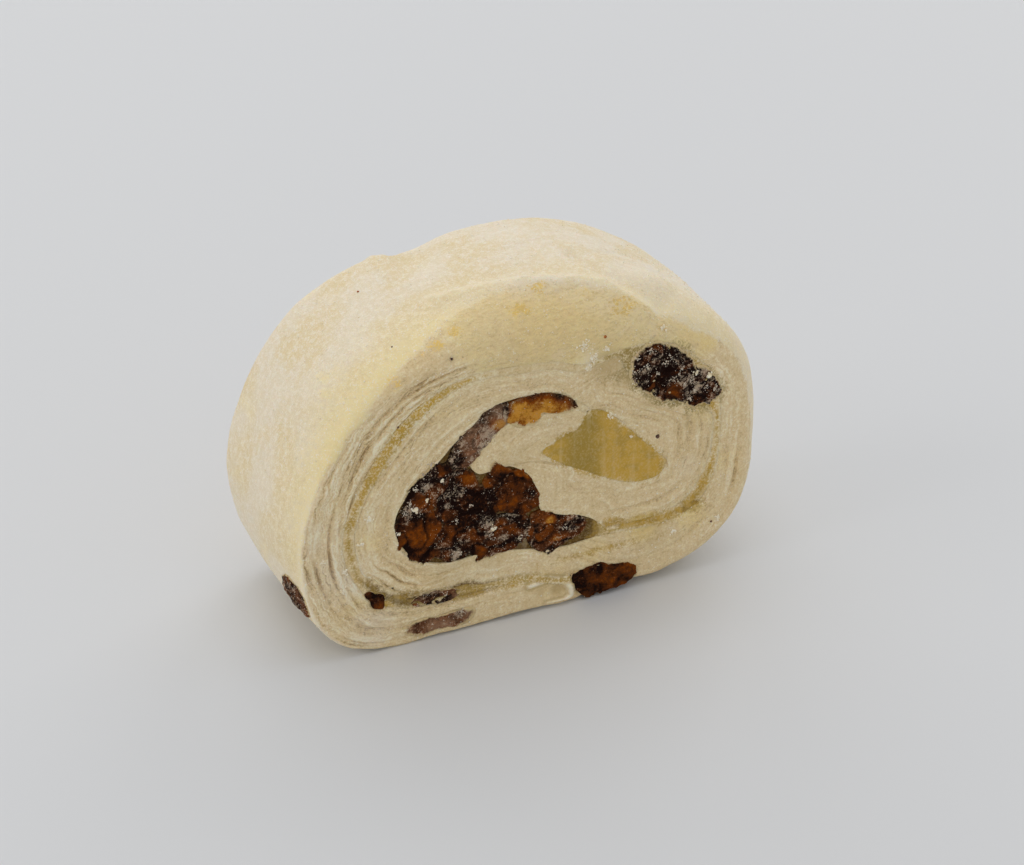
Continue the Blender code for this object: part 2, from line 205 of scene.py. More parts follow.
def seamWidth(turn, depth):
    turn, depth = matched(turn, depth)
    width = np.full(turn.shape, roll["seamGap"])
    for middle, spread, more, face in roll["seamSwells"]:
        near = ease(1 - ((turn - middle) / spread) ** 2)
        if face is not None:
            away = np.abs(depth / roll["thick"] - face)
            near = near * ease((0.5 - away) / (0.5 - roll["pocketReachIn"]))
        width = width + more * near
    return width


def wrapOutside(turn, depth):
    turn, depth = matched(turn, depth)
    return fromHub(turn, seamOuter(turn) - seamWidth(turn, depth))


def tongueOutside(share, depth):
    share, depth = matched(share, depth)
    turn = roll["tongueStart"] + share * (roll["arcEnd"] - roll["tongueStart"])
    reachIn = roll["pocketReachIn"]
    mix = ease((depth / roll["thick"] - reachIn) / (0.5 - reachIn))[..., None]
    return along(roll["tongueBack"], share) * (1 - mix) + wrapOutside(turn, depth) * mix


# Raisins on the front face: (x, z), how far in, reach towards the eight compass points,
# then how amber the flesh is, how much frost lies on it and how far it stands proud
frontRaisins = {
    "raisin_arc_tip": (-0.2, 36.8, 7.0, (5.5, 2.5, 2.1, 3.1, 4.7, 3.1, 2.4, 1.8), 1.1, 0.12, 0.04),
    "raisin_arc_upper": (
        -9.8, 33.7, 8.5, (2.6, 6.4, 2.5, 1.6, 2.4, 5.9, 2.6, 1.8), 0.46, 0.46, 0.12),
    "raisin_arc_lower": (
        -16.7, 26.7, 9.0, (5.8, 3.7, 3.6, 2.8, 4.0, 5.5, 2.4, 2.2), 0.28, 0.32, 0.18),
    "raisin_corner": (-19.6, 19.5, 8.0, (3.1, 3.5, 3.4, 3.8, 2.9, 3.6, 3.9, 3.3), 0.36, 0.05, 0.12),
    "raisin_dark": (-11.4, 22.1, 9.0, (4.3, 3.2, 3.2, 4.3, 5.0, 2.9, 3.0, 4.6), 0.1, 0.2, 0.22),
    "raisin_lobe": (-4.3, 23.3, 8.0, (3.7, 2.9, 3.1, 4.6, 3.8, 2.9, 3.7, 5.1), 0.45, 0.12, 0.2),
    "raisin_grey": (-9.6, 16.6, 9.5, (7.8, 2.9, 2.1, 4.5, 7.3, 2.9, 3.1, 5.1), 0.28, 0.32, 0.14),
    "raisin_right": (3.0, 14.4, 8.0, (5.1, 2.8, 2.6, 4.6, 4.2, 3.7, 3.0, 3.2), 0.53, 0.26, 0.14),
    "raisin_shoulder": (21.4, 37.8, 9.0, (4.6, 3.8, 4.6, 6.1, 4.8, 3.2, 4.3, 6.3), 0.16, 0.3, 0.25),
    "raisin_shoulder_tail": (
        28.2, 33.1, 6.0, (2.6, 2.2, 2.8, 3.3, 2.0, 2.6, 2.2, 2.5), 0.2, 0.46, 0.2),
    "raisin_seam_corner": (
        -26.9, 10.0, 3.0, (1.5, 0.9, 0.8, 1.9, 1.2, 1.2, 1.9, 2.1), 0.05, 0.0, 0.05),
    "raisin_seam_bottom": (
        -16.8, 7.3, 4.5, (3.3, 1.4, 1.4, 1.9, 3.5, 1.3, 1.2, 1.7), 0.3, 0.35, 0.05),
    "raisin_under_skin": (
        -16.1, 2.6, 3.0, (5.4, 1.8, 1.2, 1.6, 5.6, 1.6, 1.1, 1.5), 0.5, 0.25, 0.06),
    "raisin_under_flap": (
        11.1, 2.9, 8.0, (6.4, 3.3, 3.1, 4.1, 4.7, 3.3, 2.4, 2.9), 0.42, -0.1, 0.12),
}
# Raisins on the back face: turn of the seam, half length, half height, how far in, amber, frost
backRaisins = {
    "raisin_back_left": (150.0, 5.0, 2.5, 9.0, 0.3, 0.6),
    "raisin_back_right": (292.0, 5.2, 2.6, 8.0, 0.5, 0.4),
    "raisin_back_low": (408.0, 6.4, 3.3, 9.0, 0.2, 0.7),
    "raisin_back_heart": (520.0, 5.2, 2.3, 8.0, 0.6, 0.3),
}
# Raisin in the outside: heading, depth, half sizes, how far in, amber, frost
sideRaisin = (-155.5, 4.2, 3.6, 3.4, 2.2, 0.3, 0.35)

# Where the front raisins are more or less amber and frosted than the rest:
# (x, z), radius, amber, frost
raisinSpots = (
    ((3.6, 38.4), 2.0, -0.5, 0.0), ((-4.9, 37.0), 1.7, -0.4, 0.05), ((-7.2, 35.4), 2.0, 0.25, -0.2),
    ((6.3, 36.0), 1.7, -0.45, 0.0), ((-1.0, 38.9), 1.6, -0.4, 0.0), ((-1.4, 35.4), 2.4, 0.35, -0.1),
    ((-4.6, 37.6), 1.5, -0.15, 0.1), ((-8.6, 34.6), 2.8, 0.0, 0.1), ((-5.6, 35.0), 1.6, 0.4, -0.5),
    ((-14.0, 31.2), 2.6, -0.5, -0.3), ((-11.0, 33.0), 1.4, -0.3, 0.1),
    ((-11.3, 27.5), 1.9, 0.35, -0.6), ((-17.6, 29.0), 2.2, -0.4, 0.1),
    ((-21.2, 24.3), 1.6, -0.2, 0.4), ((-16.6, 26.2), 2.0, 0.1, 0.2),
    ((-20.2, 17.0), 3.0, 0.1, -0.3), ((-22.6, 18.4), 1.6, 0.15, -0.2),
    ((-14.8, 23.2), 1.1, 0.1, 0.6), ((-12.8, 25.0), 1.0, 0.1, 0.6),
    ((-9.6, 23.2), 2.8, -0.5, -0.35), ((-13.5, 20.0), 2.0, -0.15, -0.1),
    ((-2.4, 25.0), 2.4, 0.12, -0.3), ((-6.5, 28.0), 1.4, 0.2, -0.4), ((-6.5, 20.6), 1.5, 0.4, -0.6),
    ((-4.0, 21.3), 1.3, 0.35, -0.5), ((-1.0, 21.8), 2.0, -0.05, 0.2),
    ((-8.0, 18.2), 2.6, -0.1, 0.3), ((-5.6, 15.4), 1.4, -0.1, 0.5), ((2.2, 16.5), 1.3, 0.5, -0.5),
    ((-13.4, 14.2), 1.6, -0.1, 0.4), ((3.0, 12.2), 1.8, 0.25, 0.0), ((6.4, 14.8), 2.4, -0.15, 0.35),
    ((-9.5, 13.6), 1.4, 0.25, -0.4), ((22.9, 34.3), 1.9, 0.4, -0.5), ((19.0, 39.6), 2.0, -0.1, 0.3),
    ((21.5, 38.0), 1.6, -0.3, -0.6), ((19.4, 36.4), 1.2, 0.3, -0.5), ((-13.2, 3.4), 1.3, 0.0, 0.7),
    ((-6.4, 35.6), 2.4, 0.35, -0.2), ((7.2, 4.0), 2.4, -0.6, 0.0), ((10.4, 5.6), 1.8, -0.5, 0.0),
    ((14.0, 5.6), 1.8, -0.4, 0.2), ((11.5, 2.6), 2.3, 0.15, 0.0), ((-26.2, 8.5), 1.7, 0.4, 0.0),
    ((2.0, 36.9), 2.2, 0.25, 0.0), ((-26.9, 10.6), 1.2, -0.2, 0.0), ((24.6, 36.0), 2.0, 0.05, 0.35),
    ((27.5, 34.0), 1.5, -0.1, 0.3), ((-13.6, 30.6), 1.6, -0.3, 0.45),
    ((-18.6, 27.6), 1.4, -0.2, 0.5), ((-21.6, 22.4), 1.2, -0.1, 0.45),
)


def ellipseReaches(halfLength, halfHeight, tilt):
    angle = np.radians(45.0 * np.arange(8) - tilt)
    return tuple(1 / np.hypot(np.cos(angle) / halfLength, np.sin(angle) / halfHeight))


def raisinPlaces():
    # name -> place, axes (across, up, into), reaches, how far in, amber, frost, proud
    places = {}
    face = roll["thick"] / 2
    for name, (x, z, inwards, reaches, amber, frost, proud) in frontRaisins.items():
        axes = ((1, 0, 0), (0, 0, 1), (0, 1, 0))
        places[name] = ((x, -face, z), axes, reaches, inwards, amber, frost, proud)
    for name, (turn, halfLength, halfHeight, inwards, amber, frost) in backRaisins.items():
        spot, ahead = (fromHub(t, seamOuter(t) - seamWidth(t, roll["thick"]) / 2)
                       for t in (turn, turn + 6))
        tilt = math.degrees(math.atan2(ahead[1] - spot[1], ahead[0] - spot[0]))
        axes = ((1, 0, 0), (0, 0, 1), (0, -1, 0))
        reaches = ellipseReaches(halfLength, halfHeight, tilt)
        places[name] = ((spot[0], face, spot[1]), axes, reaches, inwards, amber, frost, 0.2)
    angle, depth, halfAlong, halfAcross, inwards, amber, frost = sideRaisin
    x, z = outside(roll["flapHeading"] - angle, depth)
    out = Vector((math.cos(math.radians(angle)), 0, math.sin(math.radians(angle))))
    axes = ((0, 1, 0), tuple(Vector((0, 1, 0)).cross(out)), tuple(-out))
    places["raisin_side"] = ((x, depth - face, z), axes, ellipseReaches(halfAcross, halfAlong, 0.0),
                             inwards, amber, frost, 0.3)
    return places


def inRaisin(points, place, axes, reaches):
    # how far outside a raisin's outline each point lies, seen along the way that it goes in
    offset = points - np.array(place)
    across = offset @ np.array(axes[0], float)
    up = offset @ np.array(axes[1], float)
    reach = around(reaches, np.degrees(np.arctan2(up, across)))
    behind = np.abs(offset @ np.array(axes[2], float))
    return np.where(behind < 1.6, np.hypot(across, up) - reach, 99.0)


def newObject(name, data):
    made = bpy.data.objects.new(name, data)
    bpy.context.scene.collection.objects.link(made)
    return made


def readOut(items, key, wide=1):
    values = np.empty(len(items) * wide, np.float32)
    items.foreach_get(key, values)
    return values.reshape(-1, wide) if wide > 1 else values


def meshObject(name, points, faces, material, attributes=()):
    mesh = bpy.data.meshes.new(name)
    mesh.from_pydata((np.asarray(points) - (roll["middle"], 0, 0)) * mm, [], faces)
    bm = bmesh.new()
    bm.from_mesh(mesh)
    bmesh.ops.recalc_face_normals(bm, faces=bm.faces)
    bm.to_mesh(mesh)
    bm.free()
    for key, values in dict(attributes).items():
        wide = values.ndim > 1
        kept = mesh.attributes.new(key, "FLOAT_VECTOR" if wide else "FLOAT", "POINT")
        kept.data.foreach_set("vector" if wide else "value", values.astype(np.float32).ravel())
    mesh.shade_smooth()
    mesh.materials.append(material)
    return newObject(name, mesh)


def push(obj, amount, keepFlat=True, straight=None):
    # moves each vertex along its normal, in millimetres, and leaves the flat base alone;
    # straight holds -1, 0 or 1 where a vertex moves forwards, by its normal, or backwards instead
    mesh = obj.data
    spots = readOut(mesh.vertices, "co", 3)
    normals = readOut(mesh.vertex_normals, "vector", 3)
    if straight is not None:
        normals[straight != 0] = 0
        normals[:, 1] += straight
    onGround = spots[:, 2] <= 1e-6
    moved = spots + normals * (amount * mm)[:, None]
    if keepFlat:
        moved[onGround] = spots[onGround]
        moved[:, 2] = np.maximum(moved[:, 2], 0.0)
    mesh.vertices.foreach_set("co", moved.astype(np.float32).ravel())
    mesh.update()


def zipColumns(a, b):
    # triangles between two columns with different numbers of points
    faces, i, j = [], 0, 0
    while i < len(a) - 1 or j < len(b) - 1:
        if j == len(b) - 1 or (i < len(a) - 1 and (i + 1) / (len(a) - 1) <= (j + 1) / (len(b) - 1)):
            faces.append((a[i], a[i + 1], b[j]))
            i += 1
        else:
            faces.append((a[i], b[j + 1], b[j]))
            j += 1
    return faces


def gridFaces(columns):
    faces = []
    for a, b in zip(columns, columns[1:]):
        if len(a) == len(b):
            faces += [(a[k], b[k], b[k + 1], a[k + 1]) for k in range(len(a) - 1)]
        else:
            faces += zipColumns(a, b)
    return faces


def closedColumns(count, rings):
    # the numbers of the points in each ring, with the first one again at the end
    return [[*range(k * count, (k + 1) * count), k * count] for k in range(rings)]


def tubeFaces(count, rings):
    columns = closedColumns(count, rings)
    return gridFaces(columns) + [columns[0][:-1], columns[-1][:-1]]


# The dough's own fineness, relief and finish
dough = {
    "stations": (500, 250, 66, 24, 80),  # first turn, second turn, far and near pocket, tongue
    "acrossFront": 44, "acrossBack": 16, "rimRows": 14, "middleRows": 26, "backRows": 5,
    "innerShares": (0.0, 0.01, 0.04, 0.14, 0.4, 0.7, 0.9, 0.98, 1.0),
    # the rounded tips of the flap and the tongue: how far ahead (x, z), steps in degrees
    "flapTip": ((1.5, 0.0), (5, 22, 42, 62, 80)), "tongueTip": ((0.5, 0.55), (75, 50, 25, 6)),
    "layerHigh": 0.22, "creviceDeep": 0.38, "seamCreaseWide": 0.7, "backSkin": 0.35,
    # the socket under a raisin, the darker ring of dough round it,
    # and the grey custard round the shoulder ones
    "socketDeep": 0.9, "darkRing": 0.45, "darkRingWide": 0.9, "haloWide": 1.5, "haloGrey": 0.85,
    # lumps of the skin's edge, the skin and the cut, and how custard wanders: height, size, seed
    "edgeLumps": ((0.5, 2.2, 11), (0.3, 0.8, 12)), "cutLumps": ((0.10, 3.2, 21), (0.06, 1.1, 22)),
    "skinLumps": ((0.14, 10.0, 31), (0.07, 3.4, 32), (0.03, 1.2, 33)),
    "wander": ((0.35, 2.4, 81),),
    # how strongly the layers show, for every 22.5 degrees of the strip from the flap inwards
    "layerShow": (0.3, 0.35, 0.5, 0.85, 1.0, 1.05, 1.0, 0.75, 0.3, 0.12, 0.12, 0.3, 0.5, 0.5, 0.45,
                  0.35, 0.45, 0.5, 0.5, 0.6, 0.65, 0.65, 0.6, 0.55, 0.5, 0.35, 0.35, 0.5, 0.4)
                 + 15 * (0.35,),
    # depth behind the front face at which the floury skin begins, for every 22.5 degrees
    "skinStart": (0.8, 0.7, 0.6, 0.25, 0.1, 0.1, 0.15, 2.8, 6.8, 6.0, 2.8, 0.9, 0.7, 0.8, 0.9, 0.8,
                  0.8),
    # how buttery the skin is beside the front rim, for the same steps
    "buttery": (0.1, 0.15, 0.3, 0.4, 0.6, 0.9, 1.0, 0.85, 0.45, 0.3, 0.5, 0.6, 0.5, 0.4, 0.35, 0.3,
                0.1),
}


def stripStations():
    # the strip's two sides at every station, with their depths, from the flap's tip inwards
    thick = roll["thick"]
    first, second, far, near, tongue = dough["stations"]
    shares = np.array(dough["innerShares"])
    stations = []

    def add(turns, outer, depths, inner):
        stations.extend(zip(turns, outer, depths, np.repeat(inner[:, None], len(shares), 1)))

    def addLater(turns, side, places, inner):
        depths = np.repeat(shares[None] * thick, len(turns), 0)
        add(turns, side(places[:, None], depths), depths, inner)

    def later(count):
        return np.arange(1, count + 1) / count

    rim = 1 - np.cos(np.radians(np.linspace(0, 90, dough["rimRows"] + 1)))
    backRim = np.sin(np.radians(np.linspace(0, 90, dough["backRows"] + 1)))[1:]
    middle = np.linspace(0, 1, dough["middleRows"] + 1)[1:]
    turn = np.linspace(0, 360, first + 1)
    radius = frontRound(turn)[:, None]
    last = thick - roll["backRound"]
    depths = np.hstack([radius * rim, radius + (last - radius) * middle,
                        last + roll["backRound"] * backRim + 0 * radius])
    add(turn, outside(turn[:, None], depths), depths, fromHub(turn, seamOuter(turn)))

    pocketStart, pocketEnd = roll["pocketTurns"]
    tongueStart = roll["tongueStart"]
    nearShare = roll["nearShare"]
    turn = pocketStart * later(second)
    lap = [(turn, fromHub(turn + 360, seamOuter(turn + 360)))]
    turn = pocketStart + (pocketEnd - pocketStart) * later(far)
    lap.append((turn, along(roll["pocketFar"], later(far))))
    turn = pocketEnd + (tongueStart - pocketEnd) * later(near)
    lap.append((turn, along(roll["pocketNear"], nearShare * later(near))))
    for turn, inner in lap:
        addLater(turn + 360, wrapOutside, turn, inner)
    share = later(tongue)
    turn = tongueStart + 360 + (roll["arcEnd"] - tongueStart) * share
    inner = along(roll["pocketNear"], nearShare + (1 - nearShare) * share)
    addLater(turn, tongueOutside, share, inner)
    return stations


def roundedEnds(stations):
    # draws the two sides together beyond the flap's tip and the tongue's tip
    shares = np.array(dough["innerShares"]) * roll["thick"]
    ends = []
    for at, (ahead, angles) in ((0, dough["flapTip"]), (-1, dough["tongueTip"])):
        turn, outer, depths, inner = stations[at]
        made = []
        for angle in angles:
            squeeze = math.sin(math.radians(angle))
            forward = np.array(ahead) * math.cos(math.radians(angle))
            middleOuter = (outer + inner[0]) / 2
            outerHere = np.stack([np.interp(shares, depths, outer[:, k]) for k in (0, 1)], -1)
            middleInner = (outerHere + inner) / 2
            sides = []
            for side, middle in ((outer, middleOuter), (inner, middleInner)):
                squeezed = middle + (side - middle) * squeeze + forward
                squeezed[:, 1] = np.maximum(squeezed[:, 1], 0.0)
                sides.append(squeezed)
            made.append((turn, sides[0], depths, sides[1]))
        ends.append(made)
    return ends[0] + stations + ends[1]


def doughMesh():
    thick = roll["thick"]
    half = thick / 2
    shares = np.array(dough["innerShares"]) * thick
    stations = roundedEnds(stripStations())
    points, strip, turns, sides, near = [], [], [], [], []
    columns = {"front": [], "back": [], "outer": [], "inner": []}
    count, far, lastMiddle = 0, 0.0, None
    for turn, outer, depths, inner in stations:
        middle = (outer[0] + inner[0]) / 2
        if lastMiddle is not None:
            far += float(np.linalg.norm(middle - lastMiddle))
        lastMiddle = middle
        wide = float(np.linalg.norm(outer[0] - inner[0]))
        wideBack = float(np.linalg.norm(outer[-1] - inner[-1]))
        inset = rimInset(np.full(len(depths), turn), depths) if turn <= 360 else 0 * depths
        across = np.linspace(0, 1, dough["acrossFront"] + 1)[:, None]
        acrossBack = np.linspace(0, 1, dough["acrossBack"] + 1)[:, None]
        parts = (
            (outer[0] + (inner[0] - outer[0]) * across, 0 * across[:, 0],
             inset[0] + wide * across[:, 0], 0),
            (outer[1:-1], depths[1:-1], inset[1:-1], 1),
            (inner[1:-1], shares[1:-1], np.full(len(shares) - 2, inset[0] + wide), 2),
            (outer[-1] + (inner[-1] - outer[-1]) * acrossBack, thick + 0 * acrossBack[:, 0],
             inset[-1] + wideBack * acrossBack[:, 0], 3),
        )
        numbers = []
        for flat, deep, into, side in parts:
            numbers.append(np.arange(count, count + len(flat)))
            count += len(flat)
            points.append(np.stack([flat[:, 0], deep - half, flat[:, 1]], -1))
            strip.append(np.stack([np.full(len(flat), far), into, deep], -1))
            turns.append(np.full(len(flat), turn))
            sides.append(np.full(len(flat), side))
            share = {0: across[:, 0], 3: acrossBack[:, 0]}.get(side, np.zeros(len(flat)))
            width = wide if side == 0 else wideBack
            near.append(np.stack([share, 1 - share], -1) * width if side in (0, 3)
                        else np.full((len(flat), 2), 9.0))
        front, outerNumbers, innerNumbers, back = [list(map(int, n)) for n in numbers]
        columns["front"].append(front)
        columns["back"].append(back[::-1])
        columns["outer"].append(([front[0]] + outerNumbers + [back[0]])[::-1])
        columns["inner"].append([front[-1]] + innerNumbers + [back[-1]])
    faces = []
    for name in columns:
        faces += gridFaces(columns[name])
    for end in (0, -1):
        faces.append(columns["front"][end] + columns["inner"][end][1:-1]
                     + columns["back"][end] + columns["outer"][end][1:-1])
    return (np.vstack(points), faces, np.vstack(strip), np.concatenate(turns),
            np.concatenate(sides), np.vstack(near))


def layers(strip):
    # the layers of the dough on a cut: -1 in a crevice, 1 on a ridge
    into = strip[:, 1] + lumps(strip / (9, 3, 9), 1.0, 3) * 0.6
    bands = lumps(np.stack([strip[:, 0] / 15, into / 0.85, strip[:, 2] / 5], -1), 1.0, 5)
    fine = lumps(np.stack([strip[:, 0] / 7, into / 0.42, strip[:, 2] / 3], -1), 1.0, 6)
    return np.clip(0.75 * bands + 0.45 * fine, -1, 1)


# Creases and dents of the skin: (turn, depth) paths, depth of the crease, half width
creases = (
    (((150, 9.4), (154, 10.6), (158, 11.2), (163, 9.2)), 0.22, 0.35),
    (((96, 19.0), (112, 20.5), (127, 19.6)), 0.12, 0.5),
    (((132, 25.0), (143, 26.4), (149, 26.0)), 0.12, 0.4),
    (((200, 18.0), (214, 20.0), (228, 19.0)), 0.12, 0.5),
    (((225, 14.5), (236, 16.0), (250, 17.5)), 0.2, 0.6),
    (((194, 8.0), (203, 6.6), (212, 5.6), (221, 4.5), (227, 2.7), (233, 1.3), (238, 0.6)),
     -0.36, 0.5),
    (((204, 4.8), (214, 3.8), (222, 2.4), (229, 0.8)), 0.18, 0.7),
    (((167.5, 31), (167, 26), (166, 21)), 0.45, 0.9),
    (((162, 31), (161.5, 26), (161, 21)), -0.3, 0.8),
)
# Yellow butter patches on the skin: (x, y, z), radius, strength
butterSpots = (
    ((-3.0, -12.0, 52.5), 2.6, 0.5), ((14.0, -11.0, 49.0), 4.5, 0.5),
    ((22.0, -9.0, 45.5), 4.5, 0.6), ((31.0, -11.0, 36.0), 4.0, 0.5),
    ((-30.0, -8.0, 42.0), 7.0, 0.7), ((-34.0, -9.0, 34.0), 7.0, 0.45),
    ((18.0, -4.0, 50.5), 3.0, 0.4), ((-36.7, 9.9, 33.6), 7.0, 0.35), ((-39.9, 6.8, 23.6), 7.0, 0.4),
    ((-39.6, -1.0, 14.4), 6.0, 0.5), ((-26.3, 14.4, 46.5), 6.0, 0.3),
    ((-7.7, 10.8, 52.0), 5.0, 0.3), ((-28.0, -10.5, 45.3), 4.5, 0.6),
    ((-32.2, -13.0, 39.3), 4.5, 0.7), ((34.0, 6.0, 40.0), 6.0, 0.4),
    ((29.0, -12.5, 42.5), 3.2, 0.6),
)
# Golden flecks: (x, y, z), radius, strength
goldSpots = (
    ((-15.6, -14.0, 50.1), 1.2, 0.8), ((-12.2, -12.9, 51.3), 1.0, 0.9),
    ((-1.4, -12.2, 52.0), 1.5, 0.8), ((2.5, -10.0, 54.0), 1.3, 0.8),
    ((14.5, -13.8, 50.0), 2.0, 0.6), ((9.5, -12.4, 53.0), 1.3, 0.5),
    ((-22.5, -14.5, 45.6), 1.5, 0.6), ((-17.8, -13.6, 48.6), 0.9, 0.8),
    ((27.5, -13.0, 42.0), 1.5, 0.6), ((-8.0, -11.0, 53.2), 1.0, 0.5),
)
# Paler, floury places on the cut: (x, z), radius, strength
paleSpots = (
    ((-33.0, 15.0), 6.0, 0.5), ((-27.5, 4.5), 5.0, 0.55), ((-35.5, 22.0), 5.0, 0.35),
    ((8.5, 43.4), 2.6, 0.8), ((26.0, 20.0), 2.5, 0.3), ((4.0, 46.0), 2.5, 0.4),
)
# Soft brownish stains on the cut, and painted shade in the lip's hollow and below the raisin
# cluster: (x, z), radius, strength
stainsAndShade = (
    ((12.0, 41.3), 4.0, 0.75), ((15.0, 39.0), 3.2, 0.75), ((29.0, 31.2), 2.8, 0.6),
    ((18.8, 33.8), 2.6, 0.35), ((-14.5, 11.6), 4.5, 0.3), ((-8.0, 12.0), 4.0, 0.25),
    ((20.2, 9.6), 4.0, 0.3), ((3.8, 3.2), 1.8, 0.85), ((1.0, 3.6), 1.6, 0.35),
    ((26.5, 28.0), 2.5, 0.25), ((-3.4, 28.2), 3.2, 0.3), ((-26.4, 8.9), 2.0, 0.5),
    ((7.5, 2.5), 1.0, 0.6),
)
# Yellower dough on the cut: (x, y, z), radius, strength
yolkSpots = (
    ((9.5, -14.0, 53.0), 5.0, 0.7), ((17.0, -14.5, 49.0), 4.5, 0.8),
    ((25.5, -14.5, 44.5), 4.5, 0.8), ((18.5, -15.5, 11.0), 4.0, 0.8),
    ((10.0, -15.5, 8.5), 4.0, 0.4), ((27.0, -15.5, 11.0), 3.5, 0.6),
    ((33.0, -15.5, 20.0), 3.0, 0.35), ((-27.5, -15.5, 20.0), 3.0, 0.4),
    ((-14.0, -15.5, 39.5), 4.0, 0.3), ((27.6, -15.5, 29.0), 3.5, 0.35),
    ((28.5, -14.0, 41.5), 3.5, 0.9), ((4.0, -15.0, 47.0), 5.0, 0.4),
    ((-6.0, -15.0, 45.0), 4.0, 0.25), ((3.0, -15.5, 5.0), 5.0, 0.35),
    ((-30.0, -15.5, 9.0), 3.5, 0.35),
)
# What the seam looks like on a cut, for every 22.5 degrees from the flap's tip: how far the
# custard shows past the seam (less than nothing where dough is smeared over it), how grey it is and
# how much painted shade darkens it, and how deep the crease beside it
seamLook = {
    "shows": (-0.3, -0.15, -0.25, -0.45, -0.7, -0.05, 0.15, -0.35, -1.4, -1.6, -1.0, 0.2, -0.5,
              -0.6, -0.45, -0.35, -0.25),
    "grey": (0.2, 0.3, 0.5, 0.5, 0.2, 0.1, 0.0, 0.0, 0.0, 0.0, 0.4, 0.8, 0.3, 0.1, 0.1, 0.3, 0.8),
    "dark": (0.0, 0.0, 0.3, 0.55, 0.2, 0.1, 0.0, 0.0, 0.0, 0.0, 0.0, 0.1, 0.1, 0.1, 0.3, 0.25, 0.2),
    "crease": (0.10, 0.06, 0.08, 0.12, 0.22, 0.12, 0.08, 0.05, 0.0, 0.0, 0.0, 0.0, 0.06, 0.08,
               0.06, 0.05, 0.0),
    "runsDeep": 2.0,
}
# Custard that has run out over the cut: (x, z), half length, half height, grey, and dark, which is
# painted shade along the seam
runs = (
    ((26.9, 12.6), 2.3, 1.3, 0.0, 0.5), ((22.6, 11.6), 3.4, 0.7, 0.1, 0.25),
    ((15.6, 39.2), 3.4, 1.0, 0.9, 0.0), ((28.0, 31.0), 2.0, 1.6, 0.6, 0.0),
    ((-2.5, 6.3), 3.4, 0.7, 0.1, 0.0), ((12.0, 13.1), 3.4, 0.7, 0.05, 0.35),
    ((18.0, 12.2), 4.2, 0.75, 0.0, 0.4), ((-22.6, 8.9), 3.4, 0.8, 0.3, 0.5),
    ((-10.8, 6.5), 4.4, 0.7, 0.3, 0.4), ((-25.2, 8.4), 1.8, 0.8, 0.0, 0.3),
    ((-22.4, 36.6), 0.6, 1.0, 0.0, 0.0), ((11.0, 8.6), 4.0, 0.3, 0.2, 0.1),
)
# The rolled lip at the flap's tip, on the front: path of (x, z), height, half width, the hollow
# inside it (middle, half sizes) and the painted shadow line beside it
lip = {
    "path": ((-1.1, 5.1), (2.2, 5.5), (4.4, 4.7), (6.0, 2.9), (6.0, 1.7), (4.7, 0.9), (1.9, 0.8)),
    "high": 0.42, "half": 0.42, "hollow": ((3.6, 3.1), (2.0, 1.3)), "hollowDeep": 0.34,
    "edgeAt": 0.8, "edgeShade": 0.85,
}
# Where flour, butter and grains lie along the skin: from which turn, over how many degrees they
# come in, up to which turn, over how many they fade; then how much of them there is
dusting = {
    "bevel": (156, 12, 268, 20), "top": (172, 20, 262, 20), "rim": (58, 12, 118, 14),
    "dusty": (185, 20, 300, 20), "edge": (130, 15, 215, 15), "fringeFades": 5.5,
    "topYolk": 0.6, "rimFlour": 0.9, "topFlour": 0.45, "edgeGrains": 2.2,
}


def lumpy(points, courses):
    # lumps of several sizes together: (height, size, seed)
    return sum(high * lumps(points, size, seed) for high, size, seed in courses)


def inSpots(points, spots, edge, stretch=1.0):
    # the strongest of the spots (place, radius, strength) at each point
    most = np.zeros(len(points))
    for spot, radius, strength in spots:
        out = np.linalg.norm((points - spot) / stretch, axis=1) / radius
        most = np.maximum(most, strength * ease(edge - out))
    return most


def withinTurns(turns, name):
    first, rise, last, fall = dusting[name]
    return ease((turns - first) / rise) * ease((last - turns) / fall)


def runOver(points, away, grey, dark):
    # custard that has run out past the seam, near the front face
    behind = points[:, 1] > -roll["thick"] / 2 + seamLook["runsDeep"]
    for spot, halfLong, halfHigh, greyHere, darkHere in runs:
        out = np.linalg.norm((points[:, [0, 2]] - spot) / (halfLong, halfHigh), axis=1)
        out = (out - 1) * halfHigh + 9.0 * behind
        grey = np.where(out < away, greyHere, grey)
        dark = np.where(out < away, darkHere, dark)
        away = np.minimum(away, out)
    return away, grey, dark


def seamTable(key, turn):
    return between(seamLook[key], np.clip(turn, 0, 360) / roll["turnStep"])


def pocketLoop():
    return list(roll["pocketFar"]) + list(roll["pocketNear"])[1:] + [roll["pocketFar"][0]]


def skinShare(points, depth, turns, sides, near):
    # how floury each point is, how far in from the front rim, and where the skin begins there
    start = between(dough["skinStart"], np.minimum(turns, 360) / roll["turnStep"])
    start = np.maximum(start, 0.05)
    edge = lumpy(points, dough["edgeLumps"])
    inFrom = np.where(sides == 0, -near[:, 0], depth)
    ragged = edge * np.clip(0.35 * start, 0.4, 0.9)
    skin = ease((inFrom - start + ragged) / np.clip(start * 0.5, 0.4, 3.0) + 0.5)
    skin *= ease((roll["thick"] - dough["backSkin"] - depth) / 0.5 + 0.3 * edge)
    return skin * (turns <= 360) * (sides < 2), inFrom, start


def lipShape(xz, sides):
    # how near to the lip's crest each point of the front lies, and how far into its hollow
    crest = np.exp(-(fromPath(xz, lip["path"]) / lip["half"]) ** 2)
    spot, halves = lip["hollow"]
    hollow = ease(1.2 - np.linalg.norm((xz - spot) / halves, axis=1))
    return crest * (sides == 0), hollow * (sides == 0)


